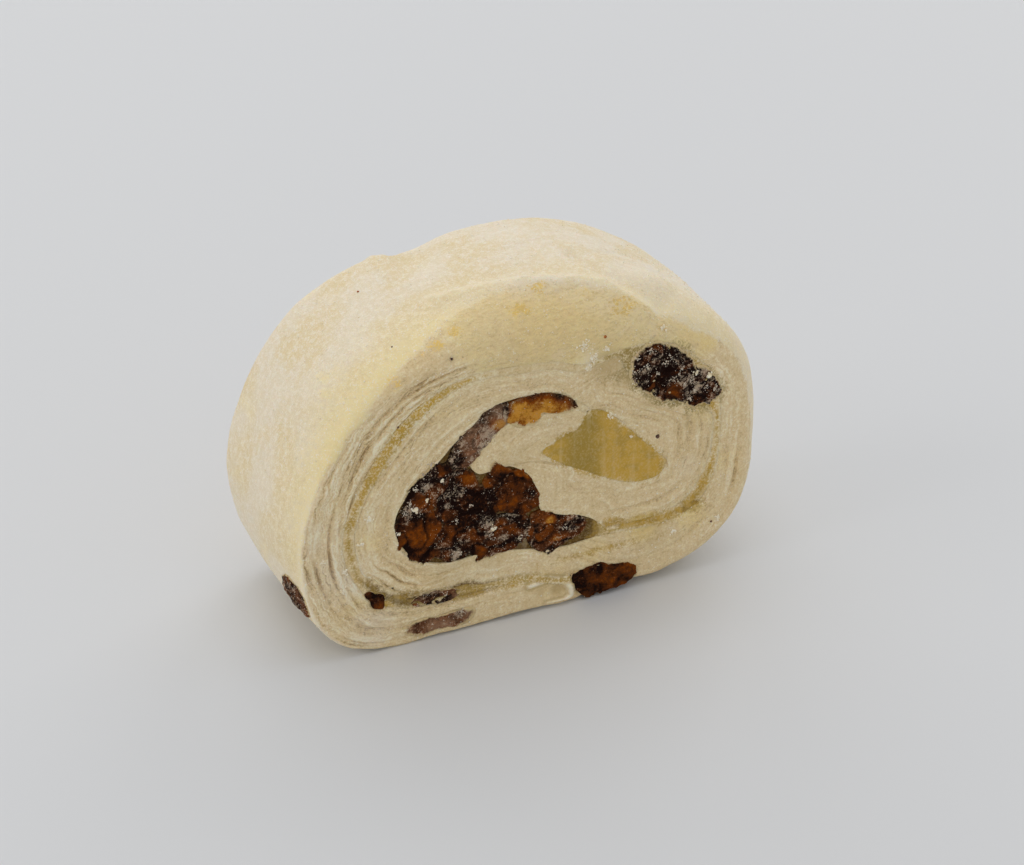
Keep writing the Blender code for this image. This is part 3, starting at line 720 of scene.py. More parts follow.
def paintFlourAndHighlight(points, skin, turns, depth, sides, fromStart, onTop, lipHigh):
    # how floury each point is, from nothing to one or a little more, with a painted highlight along
    # the ridge's crest
    here = np.stack([turns * relief["degreeLong"], depth], -1)
    # the ridge's crest is painted paler: partly flour, partly a painted highlight
    crest = np.exp(-(fromPath(here, alongTurns(relief["ridge"], 0.7)) / 1.3) ** 2)
    crest = crest * (sides == 1) * (turns > 150) * (turns < 260)
    crest = crest * (0.65 + 0.5 * lumps(points, 5.0, 71)) * (0.45 + 0.55 * ease((turns - 196) / 16))
    rimLine = np.exp(-((depth - 0.5) / 0.5) ** 2) * withinTurns(turns, "rim") * (sides == 1)
    dusty = withinTurns(turns, "dusty") * skin * (0.16 + 0.25 * lumps(points, 5.0, 75))
    upper = ease((fromStart + 3.5) / 3.0) * onTop * ease((turns - 178) / 14)
    pale = inSpots(points[:, [0, 2]], paleSpots, 1.2) * (sides == 0)
    return np.maximum.reduce([
        crest, dusting["rimFlour"] * rimLine, np.clip(0.9 * lipHigh - 0.15, 0, 0.6), dusty,
        dusting["topFlour"] * upper * (1 + 0.6 * lumps(points, 2.0, 77)),
        pale * (0.7 + 0.5 * lumps(points, 1.5, 76))])


def paintGrains(points, skin, flour, turns, depth, sides):
    # how many loose grains lie on each point
    onKnob = ease(1.3 - fromKnob(turns, depth)) * (sides == 1) * (turns <= 360)
    atEdge = 4 * skin * (1 - skin)
    grains = 0.35 * skin + 0.9 * np.clip(flour, 0, 1) + onKnob
    grains += atEdge * dusting["edgeGrains"] * withinTurns(turns, "edge")
    grains += (1 - skin) * (0.45 + 0.5 * lumps(points, 3.0, 72)) * np.isin(sides, (0, 3))
    patches = 0.6 + 0.8 * ease(0.5 + lumps(points, 6.0, 73))
    return np.clip(grains, 0, 2) * (points[:, 2] > 0.4) * patches


def doughPaint(points, skin, turns, depth, sides, inFrom, start, lipHigh):
    # butter, yolk, gold, stains and painted shade, flour with a painted highlight on the ridge,
    # coarse crumb and grains at each point
    xz = points[:, [0, 2]]
    outer = sides < 2
    bevel = withinTurns(turns, "bevel") * (inFrom > -4) * outer
    onTop = withinTurns(turns, "top") * (inFrom < start + 1) * (inFrom > -6) * outer
    butter = inSpots(points, butterSpots, 1.15) * (0.55 + 0.9 * lumps(points, 1.7, 74))
    fringe = between(dough["buttery"], np.minimum(turns, 360) / roll["turnStep"])
    fringe = fringe * np.exp(-np.clip(inFrom - start - 1, 0, None) / dusting["fringeFades"])
    fringe = fringe * outer * (turns <= 360) * np.maximum(skin, bevel)
    # a painted shadow line round the lip's crest
    lipShadeLine = np.exp(-((fromPath(xz, lip["path"]) - lip["edgeAt"]) / 0.25) ** 2)
    stainAndShade = np.maximum(lip["edgeShade"] * lipShadeLine, inSpots(xz, stainsAndShade, 1.2)) * (sides == 0)
    flour = paintFlourAndHighlight(points, skin, turns, depth, sides, inFrom - start, onTop, lipHigh)
    return {
        "butter": np.maximum(butter, fringe), "gold": inSpots(points, goldSpots, 1.3, (1.5, 1, 1)),
        "yolk": np.maximum(inSpots(points, yolkSpots, 1.2), dusting["topYolk"] * onTop),
        "stainAndShade": stainAndShade, "flour": flour,
        "grains": paintGrains(points, skin, flour, turns, depth, sides),
        "coarse": bevel * ease((start + 1.5 - inFrom) / 2.0) * ease((inFrom + 4.0) / 2.5),
    }


def buildDough(material, places):
    points, faces, strip, turns, sides, near = doughMesh()
    xz = points[:, [0, 2]]
    depth = strip[:, 2]
    onFace = np.isin(sides, (0, 3))
    skin, inFrom, start = skinShare(points, depth, turns, sides, near)
    cut = 1 - skin
    show = between(dough["layerShow"], turns / roll["turnStep"])
    show = show * np.where(depth > roll["thick"] / 2, 0.8, 1.0) * np.where(onFace, 1.0, 0.45)
    show = show * (1 + 0.5 * lumps(points, 4.5, 23))
    line = layers(strip)
    crevice = dough["creviceDeep"] * ease((-line - 0.2) / 0.5)
    amount = cut * show * (dough["layerHigh"] * line - crevice)
    amount += cut * lumpy(points, dough["cutLumps"])
    amount += skin * lumpy(points, dough["skinLumps"])
    # the seam beside every point of a cut: the first lap has it inside, the second outside
    seamTurn = np.where(turns <= 360, turns, turns - 360)
    fromSeam = np.where(turns <= 360, near[:, 1], near[:, 0])
    fromSeam = np.where(turns > 720, 9.0, fromSeam)
    amount -= seamTable("crease", seamTurn) * ease(1 - fromSeam / dough["seamCreaseWide"])
    here = np.stack([turns * relief["degreeLong"], depth], -1)
    for path, deep, half in creases:
        crease = np.exp(-(fromPath(here, alongTurns(path)) / half) ** 2)
        amount -= np.maximum(skin, 0.7) * deep * crease * (sides == 1)
    lipHigh, hollow = lipShape(xz, sides)
    amount += lip["high"] * lipHigh - lip["hollowDeep"] * hollow * (1 - lipHigh)
    # custard over the cut: beside the seam and the pocket, where it ran out, round raisins
    wander = lumpy(points, dough["wander"])
    away = fromSeam - seamTable("shows", seamTurn) + wander
    fromPocket = fromPath(xz, pocketLoop())
    # grey says how grey the custard is, dark how much painted shade darkens it
    grey = np.where(fromPocket < away, 0.0, seamTable("grey", seamTurn))
    dark = np.where(fromPocket < away, 0.0, seamTable("dark", seamTurn))
    away = np.minimum(away, fromPocket + 2 * wander + 9.0 * ~onFace)
    away, grey, dark = runOver(points, away, grey, dark)
    # a darker ring of dough round every raisin
    darkRing = np.zeros(len(points))
    for name, (place, axes, reaches, *_) in places.items():
        out = inRaisin(points, place, axes, reaches)
        amount -= dough["socketDeep"] * ease((-0.25 - out) / 0.5)
        darkRing = np.maximum(darkRing, ease(1 - out / dough["darkRingWide"]) * dough["darkRing"])
        if name.startswith("raisin_shoulder"):
            out = out - dough["haloWide"] - 0.6 * lumps(points, 2.0, 82)
            grey = np.where(out < away, dough["haloGrey"], grey)
            away = np.minimum(away, out)
    # layer carries the layer lines into the colour, for painted shade in their crevices and a
    # painted highlight on their ridges
    made = meshObject("dough", points, faces, material, {
        "strip": strip, "skin": skin, "layer": line * show * cut + 1.1 * lipHigh,
        "show": show * cut, "darkRing": darkRing, "dust": 1.0 - 0.8 * np.clip(2.5 * dark, 0, 1),
        "filling": np.stack([away, grey, dark], -1),
        **doughPaint(points, skin, turns, depth, sides, inFrom, start, lipHigh)})
    # the faces move straight, apart from their rims, so that they don't grow
    clearOfRim = (turns > 360) | (near[:, 0] > 0.6)
    ways = [(sides == 0) & clearOfRim, (sides == 3) & clearOfRim]
    push(made, np.where(sides == 2, 0.0, amount), True, np.select(ways, [-1.0, 1.0], 0.0))
    return made


# Custard: the film in the seam and the pocket in the heart of the roll
custard = {
    "filmStep": 0.7, "filmAcross": 12, "filmEnds": (2.0, 611.0),
    "filmShares": (0.0, 0.02, 0.06, 0.15, 0.35, 0.65, 0.85, 0.95, 1.0),
    # how far the film lies behind the cut at the deepest crease, and under the raisins
    "setBack": 0.14, "creaseDeepest": 0.2, "crescentBack": 0.42, "crescentTo": 588.0,
    # how much painted shade darkens the film in the recess under the raisins and in the seam beside
    # the flap
    "underRaisins": 0.85, "besideFlap": 0.7,
    "pocketMiddle": (13.0, 26.0), "pocketSteps": (60, 90), "pocketRings": 26,
    "pocketShares": (0.02, 0.1, 0.3, 0.5, 0.7, 0.9, 0.98), "pocketLumps": ((0.7, 2.4, 81),),
    "clearest": 0.75,
}


def buildFilm(material):
    thick = roll["thick"]
    first, last = custard["filmEnds"]
    turns = np.arange(first, last, custard["filmStep"])
    across = np.linspace(-0.05, 1.05, custard["filmAcross"] + 1)
    crescentTo = custard["crescentTo"]
    points, inside = [], []
    flat = np.zeros(len(custard["filmShares"]) - 2)
    share = np.concatenate([across, flat + 1, across[::-1], flat])
    ways = np.concatenate([across * 0 - 1, flat, across * 0 + 1, flat])
    for turn in turns:
        inCrescent = ease((turn - roll["tongueStart"]) / 12.0) * ease((crescentTo + 6 - turn) / 8.0)
        back = float(seamTable("crease", turn))
        back = 0.02 + custard["setBack"] * back / custard["creaseDeepest"]
        begin = back + (custard["crescentBack"] - back) * float(inCrescent)
        end = thick - 0.02 - 0.8 * back
        rows = begin + (end - begin) * np.array(custard["filmShares"])
        outer = np.repeat(fromHub(turn, seamOuter(turn))[None], len(rows), 0)
        if turn > roll["tongueStart"]:
            onTongue = (turn - roll["tongueStart"]) / (roll["arcEnd"] - roll["tongueStart"])
            inner = tongueOutside(np.full(len(rows), onTongue), rows)
        else:
            inner = wrapOutside(np.full(len(rows), turn), rows)
        face = outer[0] + (inner[0] - outer[0]) * across[:, None]
        back = outer[-1] + (inner[-1] - outer[-1]) * across[:, None]
        loop = [np.insert(face, 1, rows[0], 1), np.insert(inner[1:-1], 1, rows[1:-1], 1),
                np.insert(back[::-1], 1, rows[-1], 1),
                np.insert(outer[1:-1][::-1], 1, rows[1:-1][::-1], 1)]
        points.append(np.vstack(loop))
        width = float(np.linalg.norm(inner[0] - outer[0]))
        inside.append(np.minimum(share, 1 - share) * width)
    points = np.vstack(points)
    onLoop = np.tile(share, len(turns))
    straight = np.tile(ways, len(turns))
    turn = np.repeat(turns, len(share))
    strip = np.stack([turn / 2, 0 * turn, points[:, 1]], -1)
    points[:, 1] -= thick / 2
    swell = lumpy(points, dough["cutLumps"])
    hidden = ease((turn - roll["tongueStart"]) / 14.0) * ease((0.6 - strip[:, 2] / thick) / 0.3)
    atTip = ease((turn - crescentTo) / 8.0)
    seamTurn = np.where(turn > 360, turn - 360, turn)
    away = -np.concatenate(inside) - seamTable("shows", seamTurn) - 2 * hidden + 5 * atTip
    away += lumpy(points, dough["wander"])
    grey = seamTable("grey", seamTurn) * (1 - hidden)
    # the film in the recess under the raisins and in the seam beside the flap is painted dark, as
    # shade
    dark = seamTable("dark", seamTurn) * (1 - hidden) + custard["underRaisins"] * hidden
    besideFlap = ease((onLoop - 0.62) / 0.3) * ease((turn - 22) / 15) * ease((82 - turn) / 10)
    dark += custard["besideFlap"] * besideFlap
    away, grey, dark = runOver(points, away, grey, dark)
    made = meshObject("custard_film", points, tubeFaces(len(share), len(turns)), material, {
        "strip": strip, "show": np.full(len(points), 0.4),
        "dust": 1.0 - 0.85 * np.clip(2.5 * dark, 0, 1),
        "filling": np.stack([away, grey, dark], -1)})
    push(made, swell * np.abs(straight), False, straight)
    return made


def buildPocket(material):
    farCount, nearCount = custard["pocketSteps"]
    edge = np.vstack([along(roll["pocketFar"], np.arange(farCount) / farCount),
                      along(roll["pocketNear"], np.arange(nearCount) / nearCount)])
    middle = np.array(custard["pocketMiddle"])
    sizes = np.sqrt(np.linspace(0, 1, custard["pocketRings"] + 1))[1:]
    half = roll["thick"] / 2 - 0.02
    rings = []
    for depth, order in ((-half, sizes), (half, sizes[::-1])):
        for size in order:
            rings.append(np.insert(middle + (edge - middle) * (size * 1.008), 1, depth, 1))
        if depth < 0:
            for share in custard["pocketShares"]:
                rings.append(np.insert(edge, 1, -half + 2 * half * share, 1))
    points = np.vstack(rings)
    swell = lumpy(points, dough["cutLumps"])
    fromEdge = fromPath(points[:, [0, 2]], np.vstack([edge, edge[:1]]))
    away = -0.65 * fromEdge - 0.35 + lumpy(points, custard["pocketLumps"])
    x = points[:, 0]
    clear = ease((x - 3.0) / 3.5) * ease((12.5 - x) / 4.0) * custard["clearest"]
    made = meshObject("custard_pocket", points, tubeFaces(len(edge), len(rings)), material, {
        "strip": points, "show": np.full(len(points), 0.3), "clear": clear,
        "dust": np.full(len(points), 0.2), "filling": np.stack([away, 0 * away, 0 * away], -1)})
    straight = np.where(np.abs(points[:, 1]) > half - 0.01, np.sign(points[:, 1]), 0.0)
    push(made, swell * np.abs(straight), False, straight)
    return made


# Raisins: how fine and how wrinkled they are, where they are dark along the outer seam, and what
# goes for each that has nothing of its own below: how far it spreads past its outline, the veil
# of dough over it, how much its folds show (sunk, and painted darker as shade), how wide its
# smeared rim and how dark that seam is, and the points that stick out of its outline (heading,
# width in degrees, length)
raisin = {
    "sides": 120, "domeRings": 24, "wrinkle": 0.26, "pit": 0.14, "ragged": 0.32,
    "darkSeam": (430.0, 604.0, 4.0),
    "body": ((1.0, 0.35), (0.9, 0.6), (0.66, 0.82), (0.34, 0.95)),  # size, share of the depth
    "spread": 0.45, "veil": 0.0, "smooth": 1.0, "soft": 0.2, "darkRim": 0.0, "points": (),
}
raisinOwn = {
    "raisin_arc_tip": {"veil": 0.1, "smooth": 0.15, "soft": 0.45, "darkRim": 0.6,
        "points": ((225.0, 16.0, 0.9), (346.0, 9.0, 2.4), (20.0, 12.0, -0.9))},
    "raisin_arc_upper": {"spread": 0.65, "veil": 0.34, "soft": 0.35, "darkRim": 0.3,
        "points": ((150.0, 25.0, 0.7), (330.0, 20.0, 0.5))},
    "raisin_arc_lower": {"spread": 0.75, "darkRim": 0.4,
        "points": ((160.0, 25.0, 0.5), (342.0, 14.0, 1.4))},
    "raisin_corner": {"spread": 1.0, "darkRim": 0.3, "points": ((285.0, 22.0, 1.2),)},
    "raisin_dark": {"spread": 0.85},
    "raisin_lobe": {"spread": 0.6, "soft": 0.16,
        "points": ((116.0, 11.0, 1.9), (60.0, 9.0, 0.7), (330.0, 10.0, 0.8))},
    "raisin_grey": {"spread": 1.05, "points": ((262.0, 8.0, 0.9), (215.0, 18.0, 1.6))},
    "raisin_right": {"spread": 0.6, "veil": 0.1, "soft": 0.16, "points": ((255.0, 9.0, 0.9),)},
    "raisin_shoulder": {"spread": 0.8, "soft": 0.2,
        "points": ((185.0, 12.0, 0.8), (300.0, 10.0, 0.6), (338.0, 16.0, 1.2))},
    "raisin_shoulder_tail": {"spread": 0.9, "soft": 0.25,
        "points": ((105.0, 28.0, 1.2), (265.0, 30.0, -1.0))},
    "raisin_seam_corner": {"spread": 0.0, "smooth": 0.15, "soft": 0.08,
        "points": ((160.0, 20.0, 0.4), (300.0, 15.0, 0.4))},
    "raisin_seam_bottom": {"spread": 0.1, "veil": 0.3, "soft": 0.08,
        "points": ((180.0, 14.0, 0.8), (0.0, 14.0, 0.8))},
    "raisin_under_skin": {"spread": 0.1, "veil": 0.5, "smooth": 0.3, "soft": 0.4,
        "points": ((180.0, 10.0, 1.2), (8.0, 10.0, 0.8))},
    "raisin_under_flap": {"spread": 0.1, "smooth": 0.4, "soft": 0.05,
        "points": ((20.0, 20.0, 0.4), (157.0, 13.0, 0.9))},
    "raisin_side": {"veil": 0.15, "smooth": 0.5, "soft": 0.12},
}


def crescentLoop():
    # outline of the hollow in which the cluster of raisins lies, on the front face
    turns = np.arange(roll["tongueStart"], roll["arcEnd"], 3.0)
    shares = (turns - roll["tongueStart"]) / (roll["arcEnd"] - roll["tongueStart"])
    inner = tongueOutside(shares, 0 * shares)
    return np.vstack([fromHub(turns, seamOuter(turns)), inner[::-1]])


def outOfLoop(points, loop):
    # distance from a closed outline, less than nothing inside it
    closed = np.vstack([loop, loop[:1]])
    inside = np.zeros(len(points), bool)
    for a, b in zip(closed, closed[1:]):
        crosses = (a[1] > points[:, 1]) != (b[1] > points[:, 1])
        rise = b[1] - a[1] if abs(b[1] - a[1]) > 1e-9 else 1e-9
        inside ^= crosses & (points[:, 0] < a[0] + (points[:, 1] - a[1]) * (b[0] - a[0]) / rise)
    return fromPath(points, closed) * np.where(inside, -1, 1)


def alongSkin(points, offset):
    # bends a flat layer of points, offset from the skin by this much, to the skin's own curve
    base = points - offset
    across = base[:, [0, 2]] - np.array(roll["hub"])
    turn = (roll["flapHeading"] - np.degrees(np.arctan2(across[:, 1], across[:, 0]))) % 360
    reach = np.linalg.norm(across, axis=1)
    skin = np.linalg.norm(outside(turn, base[:, 1] + roll["thick"] / 2) - roll["hub"], axis=1)
    shift = across * ((skin - reach) / reach)[:, None]
    return points + np.insert(shift, 1, 0.0, 1)


def raisinReach(own, angle, place, ring, reaches):
    # the outline of a raisin: its reach at every angle, with its points and its ragged edge
    reach = around(reaches, np.degrees(angle)) + own["spread"]
    for towards, width, length in own["points"]:
        turned = (np.degrees(angle) - towards + 180) % 360 - 180
        reach += length * np.exp(-(turned / width) ** 2)
    outline = np.array(place) + reach[:, None] * ring
    ragged = lumps(outline, 1.1, 108) + 0.7 * lumps(outline, 0.5, 109)
    return reach + min(own["ragged"], 0.1 * reach.mean()) * ragged


def raisinPaint(own, points, bent, folds, amber, frost, size, shown, apart, spots):
    # flesh, frost, rim, smeared dough and veil at each point, with painted shade in the folds and
    # where raisins meet
    xz = points[:, [0, 2]]
    edge = ease((size - 1 + own["soft"]) / own["soft"]) * shown
    inHollow = outOfLoop(xz, crescentLoop())
    smear = edge * ease((apart - 0.6) / 0.6) * ease((inHollow + 0.1) / 0.5)
    veil = own["veil"] * (1 + 0.7 * lumps(points, 2.2, 113))
    flesh = amber + 0.30 * lumps(bent * (1.0, 1.0, 1.6), 2.4, 105) + 0.18 * lumps(bent, 0.9, 106)
    cover = frost * (1.0 + 1.2 * lumps(bent, 1.5, 107))
    for spot, radius, warmer, whiter in spots:
        near = ease(1.3 * (1 - np.linalg.norm(xz - spot, axis=1) / radius))
        flesh = flesh + warmer * near
        cover = cover + whiter * near
    veil = veil * (0.25 + 0.75 * ease((flesh + 0.1) / 0.45))
    seamTurns = np.arange(*own["darkSeam"])
    fromSeam = fromPath(xz, fromHub(seamTurns, seamOuter(seamTurns)))
    darkRim = own["darkRim"] * np.exp(-fromSeam ** 2)
    # painted shade where two raisins meet
    shadeBetween = ease(1 - np.abs(apart) / 0.9)
    flesh = np.clip(flesh - darkRim - 0.3 * shadeBetween, 0, 1.3)
    cover = cover + 0.3 * ease(1 - np.abs(apart - 0.5) / 0.7) * (0.5 + lumps(points, 2.0, 114))
    return {"amber": flesh, "frost": np.clip(cover, 0, 1.2) * shown, "fold": folds * shown,
            "edge": edge, "smear": smear, "veil": veil * shown}


def buildRaisin(node, place, axes, reaches, inwards, amber, frost, proud, material, others):
    own = {**raisin, **raisinOwn.get(node, {})}
    sides = own["sides"]
    angle = np.arange(sides) * 2 * math.pi / sides
    across, up, into = (np.array(a, float) for a in axes)
    ring = np.cos(angle)[:, None] * across + np.sin(angle)[:, None] * up
    reach = raisinReach(own, angle, place, ring, reaches)
    # the rings of points, each with its size and its depth: the dome that shows, then the rest
    dome = np.linspace(0, 1, own["domeRings"] + 1)[1:]
    rings = [(r, -proud * (1 - r ** 4) - 0.1 + 0.2 * r ** 60) for r in dome]
    rings += [(1.0, 0.5), (1.0, 0.9), *((size, deep * inwards) for size, deep in own["body"])]
    place = np.array(place)
    points = [place + (reach * size)[:, None] * ring + into * deep for size, deep in rings]
    if node == "raisin_side":
        points = [alongSkin(spots, into * deep) for spots, (_, deep) in zip(points, rings)]
    columns = closedColumns(sides, len(rings))
    tips = [place - into * (proud + 0.08), place + into * inwards * 0.97]
    points = np.vstack([*points, *tips])
    faces = gridFaces(columns)
    start, end = len(points) - 2, len(points) - 1
    for k in range(sides):
        faces.append((columns[0][k], columns[0][k + 1], start))
        faces.append((columns[-1][k + 1], columns[-1][k], end))
    sizes, deeps = np.array(rings).T
    size = np.append(np.repeat(sizes, sides), [0.0, 0.0])
    shown = np.append(np.repeat(deeps < 0.3, sides), [1.0, 0.0])
    sway = [lumps(points, 1.6, 111), 0 * points[:, 0], lumps(points, 1.6, 112)]
    bent = points + np.stack(sway, -1) * 0.9
    # the folds sink the surface and are also painted darker, as shade
    folds = ease(1 - np.abs(lumps(bent * (1.0, 1.0, 1.5), 2.6, 102)) / 0.32)
    folds = folds * own["smooth"]
    amount = own["wrinkle"] * (lumps(bent, 1.3, 103) - 0.8 * folds)
    amount += own["pit"] * lumps(points, 0.45, 104)
    amount *= shown * (1 - 0.5 * size ** 8)
    apart = np.full(len(points), 9.0)
    for other in others:
        apart = np.minimum(apart, inRaisin(points, *other))
    spots = raisinSpots if node in frontRaisins else ()
    made = meshObject(node + "_piece", points, faces, material, raisinPaint(
        own, points, bent, folds, amber, frost, size, shown, apart, spots))
    push(made, amount)
    return made


def newMaterial(name):
    material = bpy.data.materials.new(name)
    material.use_nodes = True
    return material, material.node_tree, material.node_tree.nodes["Principled BSDF"]


def put(tree, kind, inputs=(), **settings):
    # a new node with its settings, and with its inputs linked or filled in
    made = tree.nodes.new(kind if "Node" in kind else "ShaderNode" + kind)
    for key, value in settings.items():
        setattr(made, key, value)
    for key, value in dict(inputs).items():
        feed(tree, made.inputs[key], value)
    return made


def feed(tree, socket, value):
    if isinstance(value, bpy.types.NodeSocket):
        tree.links.new(value, socket)
    elif isinstance(value, tuple) and len(value) == 3 and len(socket.default_value) == 4:
        socket.default_value = (*value, 1.0)
    else:
        socket.default_value = value


def blendTo(tree, colour, other, amount):
    return put(tree, "Mix", {0: amount, 6: colour, 7: other}, data_type="RGBA").outputs[2]


def calc(tree, operation, a, b):
    return put(tree, "Math", {0: a, 1: b}, operation=operation).outputs[0]


def times(tree, a, b):
    return calc(tree, "MULTIPLY", a, b)


def total(tree, parts, start):
    # a weighted sum of values
    for value, weight in parts:
        inputs = {0: value, 1: weight, 2: start}
        start = put(tree, "Math", inputs, operation="MULTIPLY_ADD").outputs[0]
    return start


def grain(tree, spot, scale, detail=2.0, rough=0.5, stretch=None):
    if stretch:
        spot = put(tree, "Mapping", {"Vector": spot, "Scale": stretch}).outputs[0]
    inputs = {"Vector": spot, "Scale": scale, "Detail": detail, "Roughness": rough}
    return put(tree, "TexNoise", inputs).outputs[0]


def step(tree, value, low, high):
    return put(tree, "MapRange", {"Value": value, "From Min": low, "From Max": high},
               interpolation_type="SMOOTHSTEP").outputs[0]


def coat(tree, colour, tint, value, low, high, most=1.0):
    # lays a tint over a colour: none of it where the value is low, the most where it is high
    amount = step(tree, value, low, high)
    if most != 1.0:
        amount = times(tree, amount, most)
    return blendTo(tree, colour, tint, amount)


def painted(tree, name, output="Fac"):
    return put(tree, "Attribute", attribute_name=name).outputs[output]


def inMillimetres(tree):
    place = put(tree, "TexCoord").outputs["Object"]
    return put(tree, "VectorMath", {0: place, 3: 1 / mm}, operation="SCALE").outputs[0]


def finishSurface(tree, shader, look, colour, height, rough=None):
    weight, radius, scale = look["soft"]
    strength, distance = look["bump"]
    inputs = {"Height": height, "Strength": strength, "Distance": distance * mm}
    bumped = put(tree, "Bump", inputs).outputs[0]
    for name, value in {
            "Base Color": colour, "Roughness": rough or look["rough"], "Normal": bumped,
            "Specular IOR Level": look["specular"], "Subsurface Weight": weight,
            "Subsurface Radius": radius, "Subsurface Scale": scale * mm}.items():
        feed(tree, shader.inputs[name], value)


cutLook = {
    # crevice is painted shade in the layers' crevices; pale is partly the layers' flour and partly
    # a painted highlight on their ridges
    "cut": (0.79, 0.605, 0.33), "pale": (1.0, 0.89, 0.64), "crevice": (0.44, 0.30, 0.135),
    "custard": (0.62, 0.38, 0.065), "clear": (0.36, 0.245, 0.05), "grey": (0.33, 0.25, 0.10),
    # dark is painted shade in the seam and in the recess under the raisins
    "dark": (0.045, 0.015, 0.003), "frosty": (0.84, 0.69, 0.42), "broken": 2.0, "drift": 2.4,
    "marks": 0.10,
}


def cutColours(tree, spot):
    # colour and height of the cut layers, and of the custard wherever it shows between them
    look = cutLook
    broad = grain(tree, spot, 0.45, 2)
    mottle = grain(tree, spot, 1.0, 3, 0.65)
    powder = grain(tree, spot, 3.0, 2, 0.7)
    drift = times(tree, calc(tree, "SUBTRACT", broad, 0.5), look["drift"])
    drift = put(tree, "CombineXYZ", {1: drift}).outputs[0]
    strip = {0: painted(tree, "strip", "Vector"), 1: drift}
    strip = put(tree, "VectorMath", strip, operation="ADD").outputs[0]
    lines = grain(tree, strip, 1.0, 4, 0.6, (0.10, 2.0, 0.4))
    threads = grain(tree, strip, 1.0, 2, 0.5, (0.25, 5.0, 0.9))
    bands = total(tree, ((lines, 1.7), (threads, 1.1)), -1.4)
    bands = times(tree, bands, painted(tree, "show"))
    layered = ((bands, 1.0), (mottle, 0.75), (powder, 1.1), (painted(tree, "layer"), 0.5))
    tone = total(tree, layered, -0.475)
    # the tone follows the cut's bumps: the layers' own colour, with painted shade in the crevices
    # and a painted highlight on the ridges
    colour = coat(tree, look["crevice"], look["cut"], tone, -0.2, 0.4)
    colour = coat(tree, colour, look["pale"], tone, 0.35, 1.0)
    # custard: away from it, how grey it is, and how much painted shade darkens it
    away, grey, dark = put(tree, "SeparateXYZ", {0: painted(tree, "filling", "Vector")}).outputs
    shows = ((away, 1.0), (mottle, look["broken"]), (powder, 1.0))
    away = total(tree, shows, -0.5 * look["broken"] - 0.5)
    darker = total(tree, ((dark, 1.0), (mottle, 0.9)), -0.45)
    filling = blendTo(tree, look["custard"], look["clear"], painted(tree, "clear"))
    filling = coat(tree, filling, look["clear"], broad, 0.45, 0.65, 0.4)
    filling = blendTo(tree, filling, look["grey"], grey)
    filling = coat(tree, filling, look["dark"], darker, 0.15, 0.9, 0.85)
    filling = coat(tree, filling, look["frosty"], powder, 0.43, 0.67, painted(tree, "dust"))
    colour = coat(tree, colour, filling, away, 0.6, -0.6)
    # faint upright marks of the knife
    x, y, z = put(tree, "SeparateXYZ", {0: spot}).outputs
    upright = {0: times(tree, x, 0.55), 1: 3.0, 2: times(tree, z, 0.035)}
    upright = grain(tree, put(tree, "CombineXYZ", upright).outputs[0], 1.0, 2)
    marks = times(tree, step(tree, upright, 0.54, 0.66), step(tree, y, -14.0, -15.0))
    colour = blendTo(tree, colour, look["pale"], times(tree, marks, look["marks"]))
    height = total(tree, ((bands, 0.5), (mottle, 0.35), (powder, 0.5)), 0.0)
    return colour, height, mottle, powder, strip


doughLook = {
    "skin": (0.84, 0.72, 0.52), "skinWarm": (0.81, 0.655, 0.385), "flour": (0.96, 0.88, 0.765),
    "pit": (0.72, 0.57, 0.33), "butter": (0.93, 0.76, 0.38), "gold": (0.88, 0.60, 0.15),
    "yolk": (0.90, 0.68, 0.265), "coarse": (0.60, 0.43, 0.20), "stainAndShade": (0.54, 0.39, 0.17),
    "darkRing": (0.26, 0.17, 0.06),
    "rough": 0.62, "specular": 0.3, "soft": (0.18, (1.0, 0.65, 0.35), 1.4), "bump": (0.6, 0.35),
}


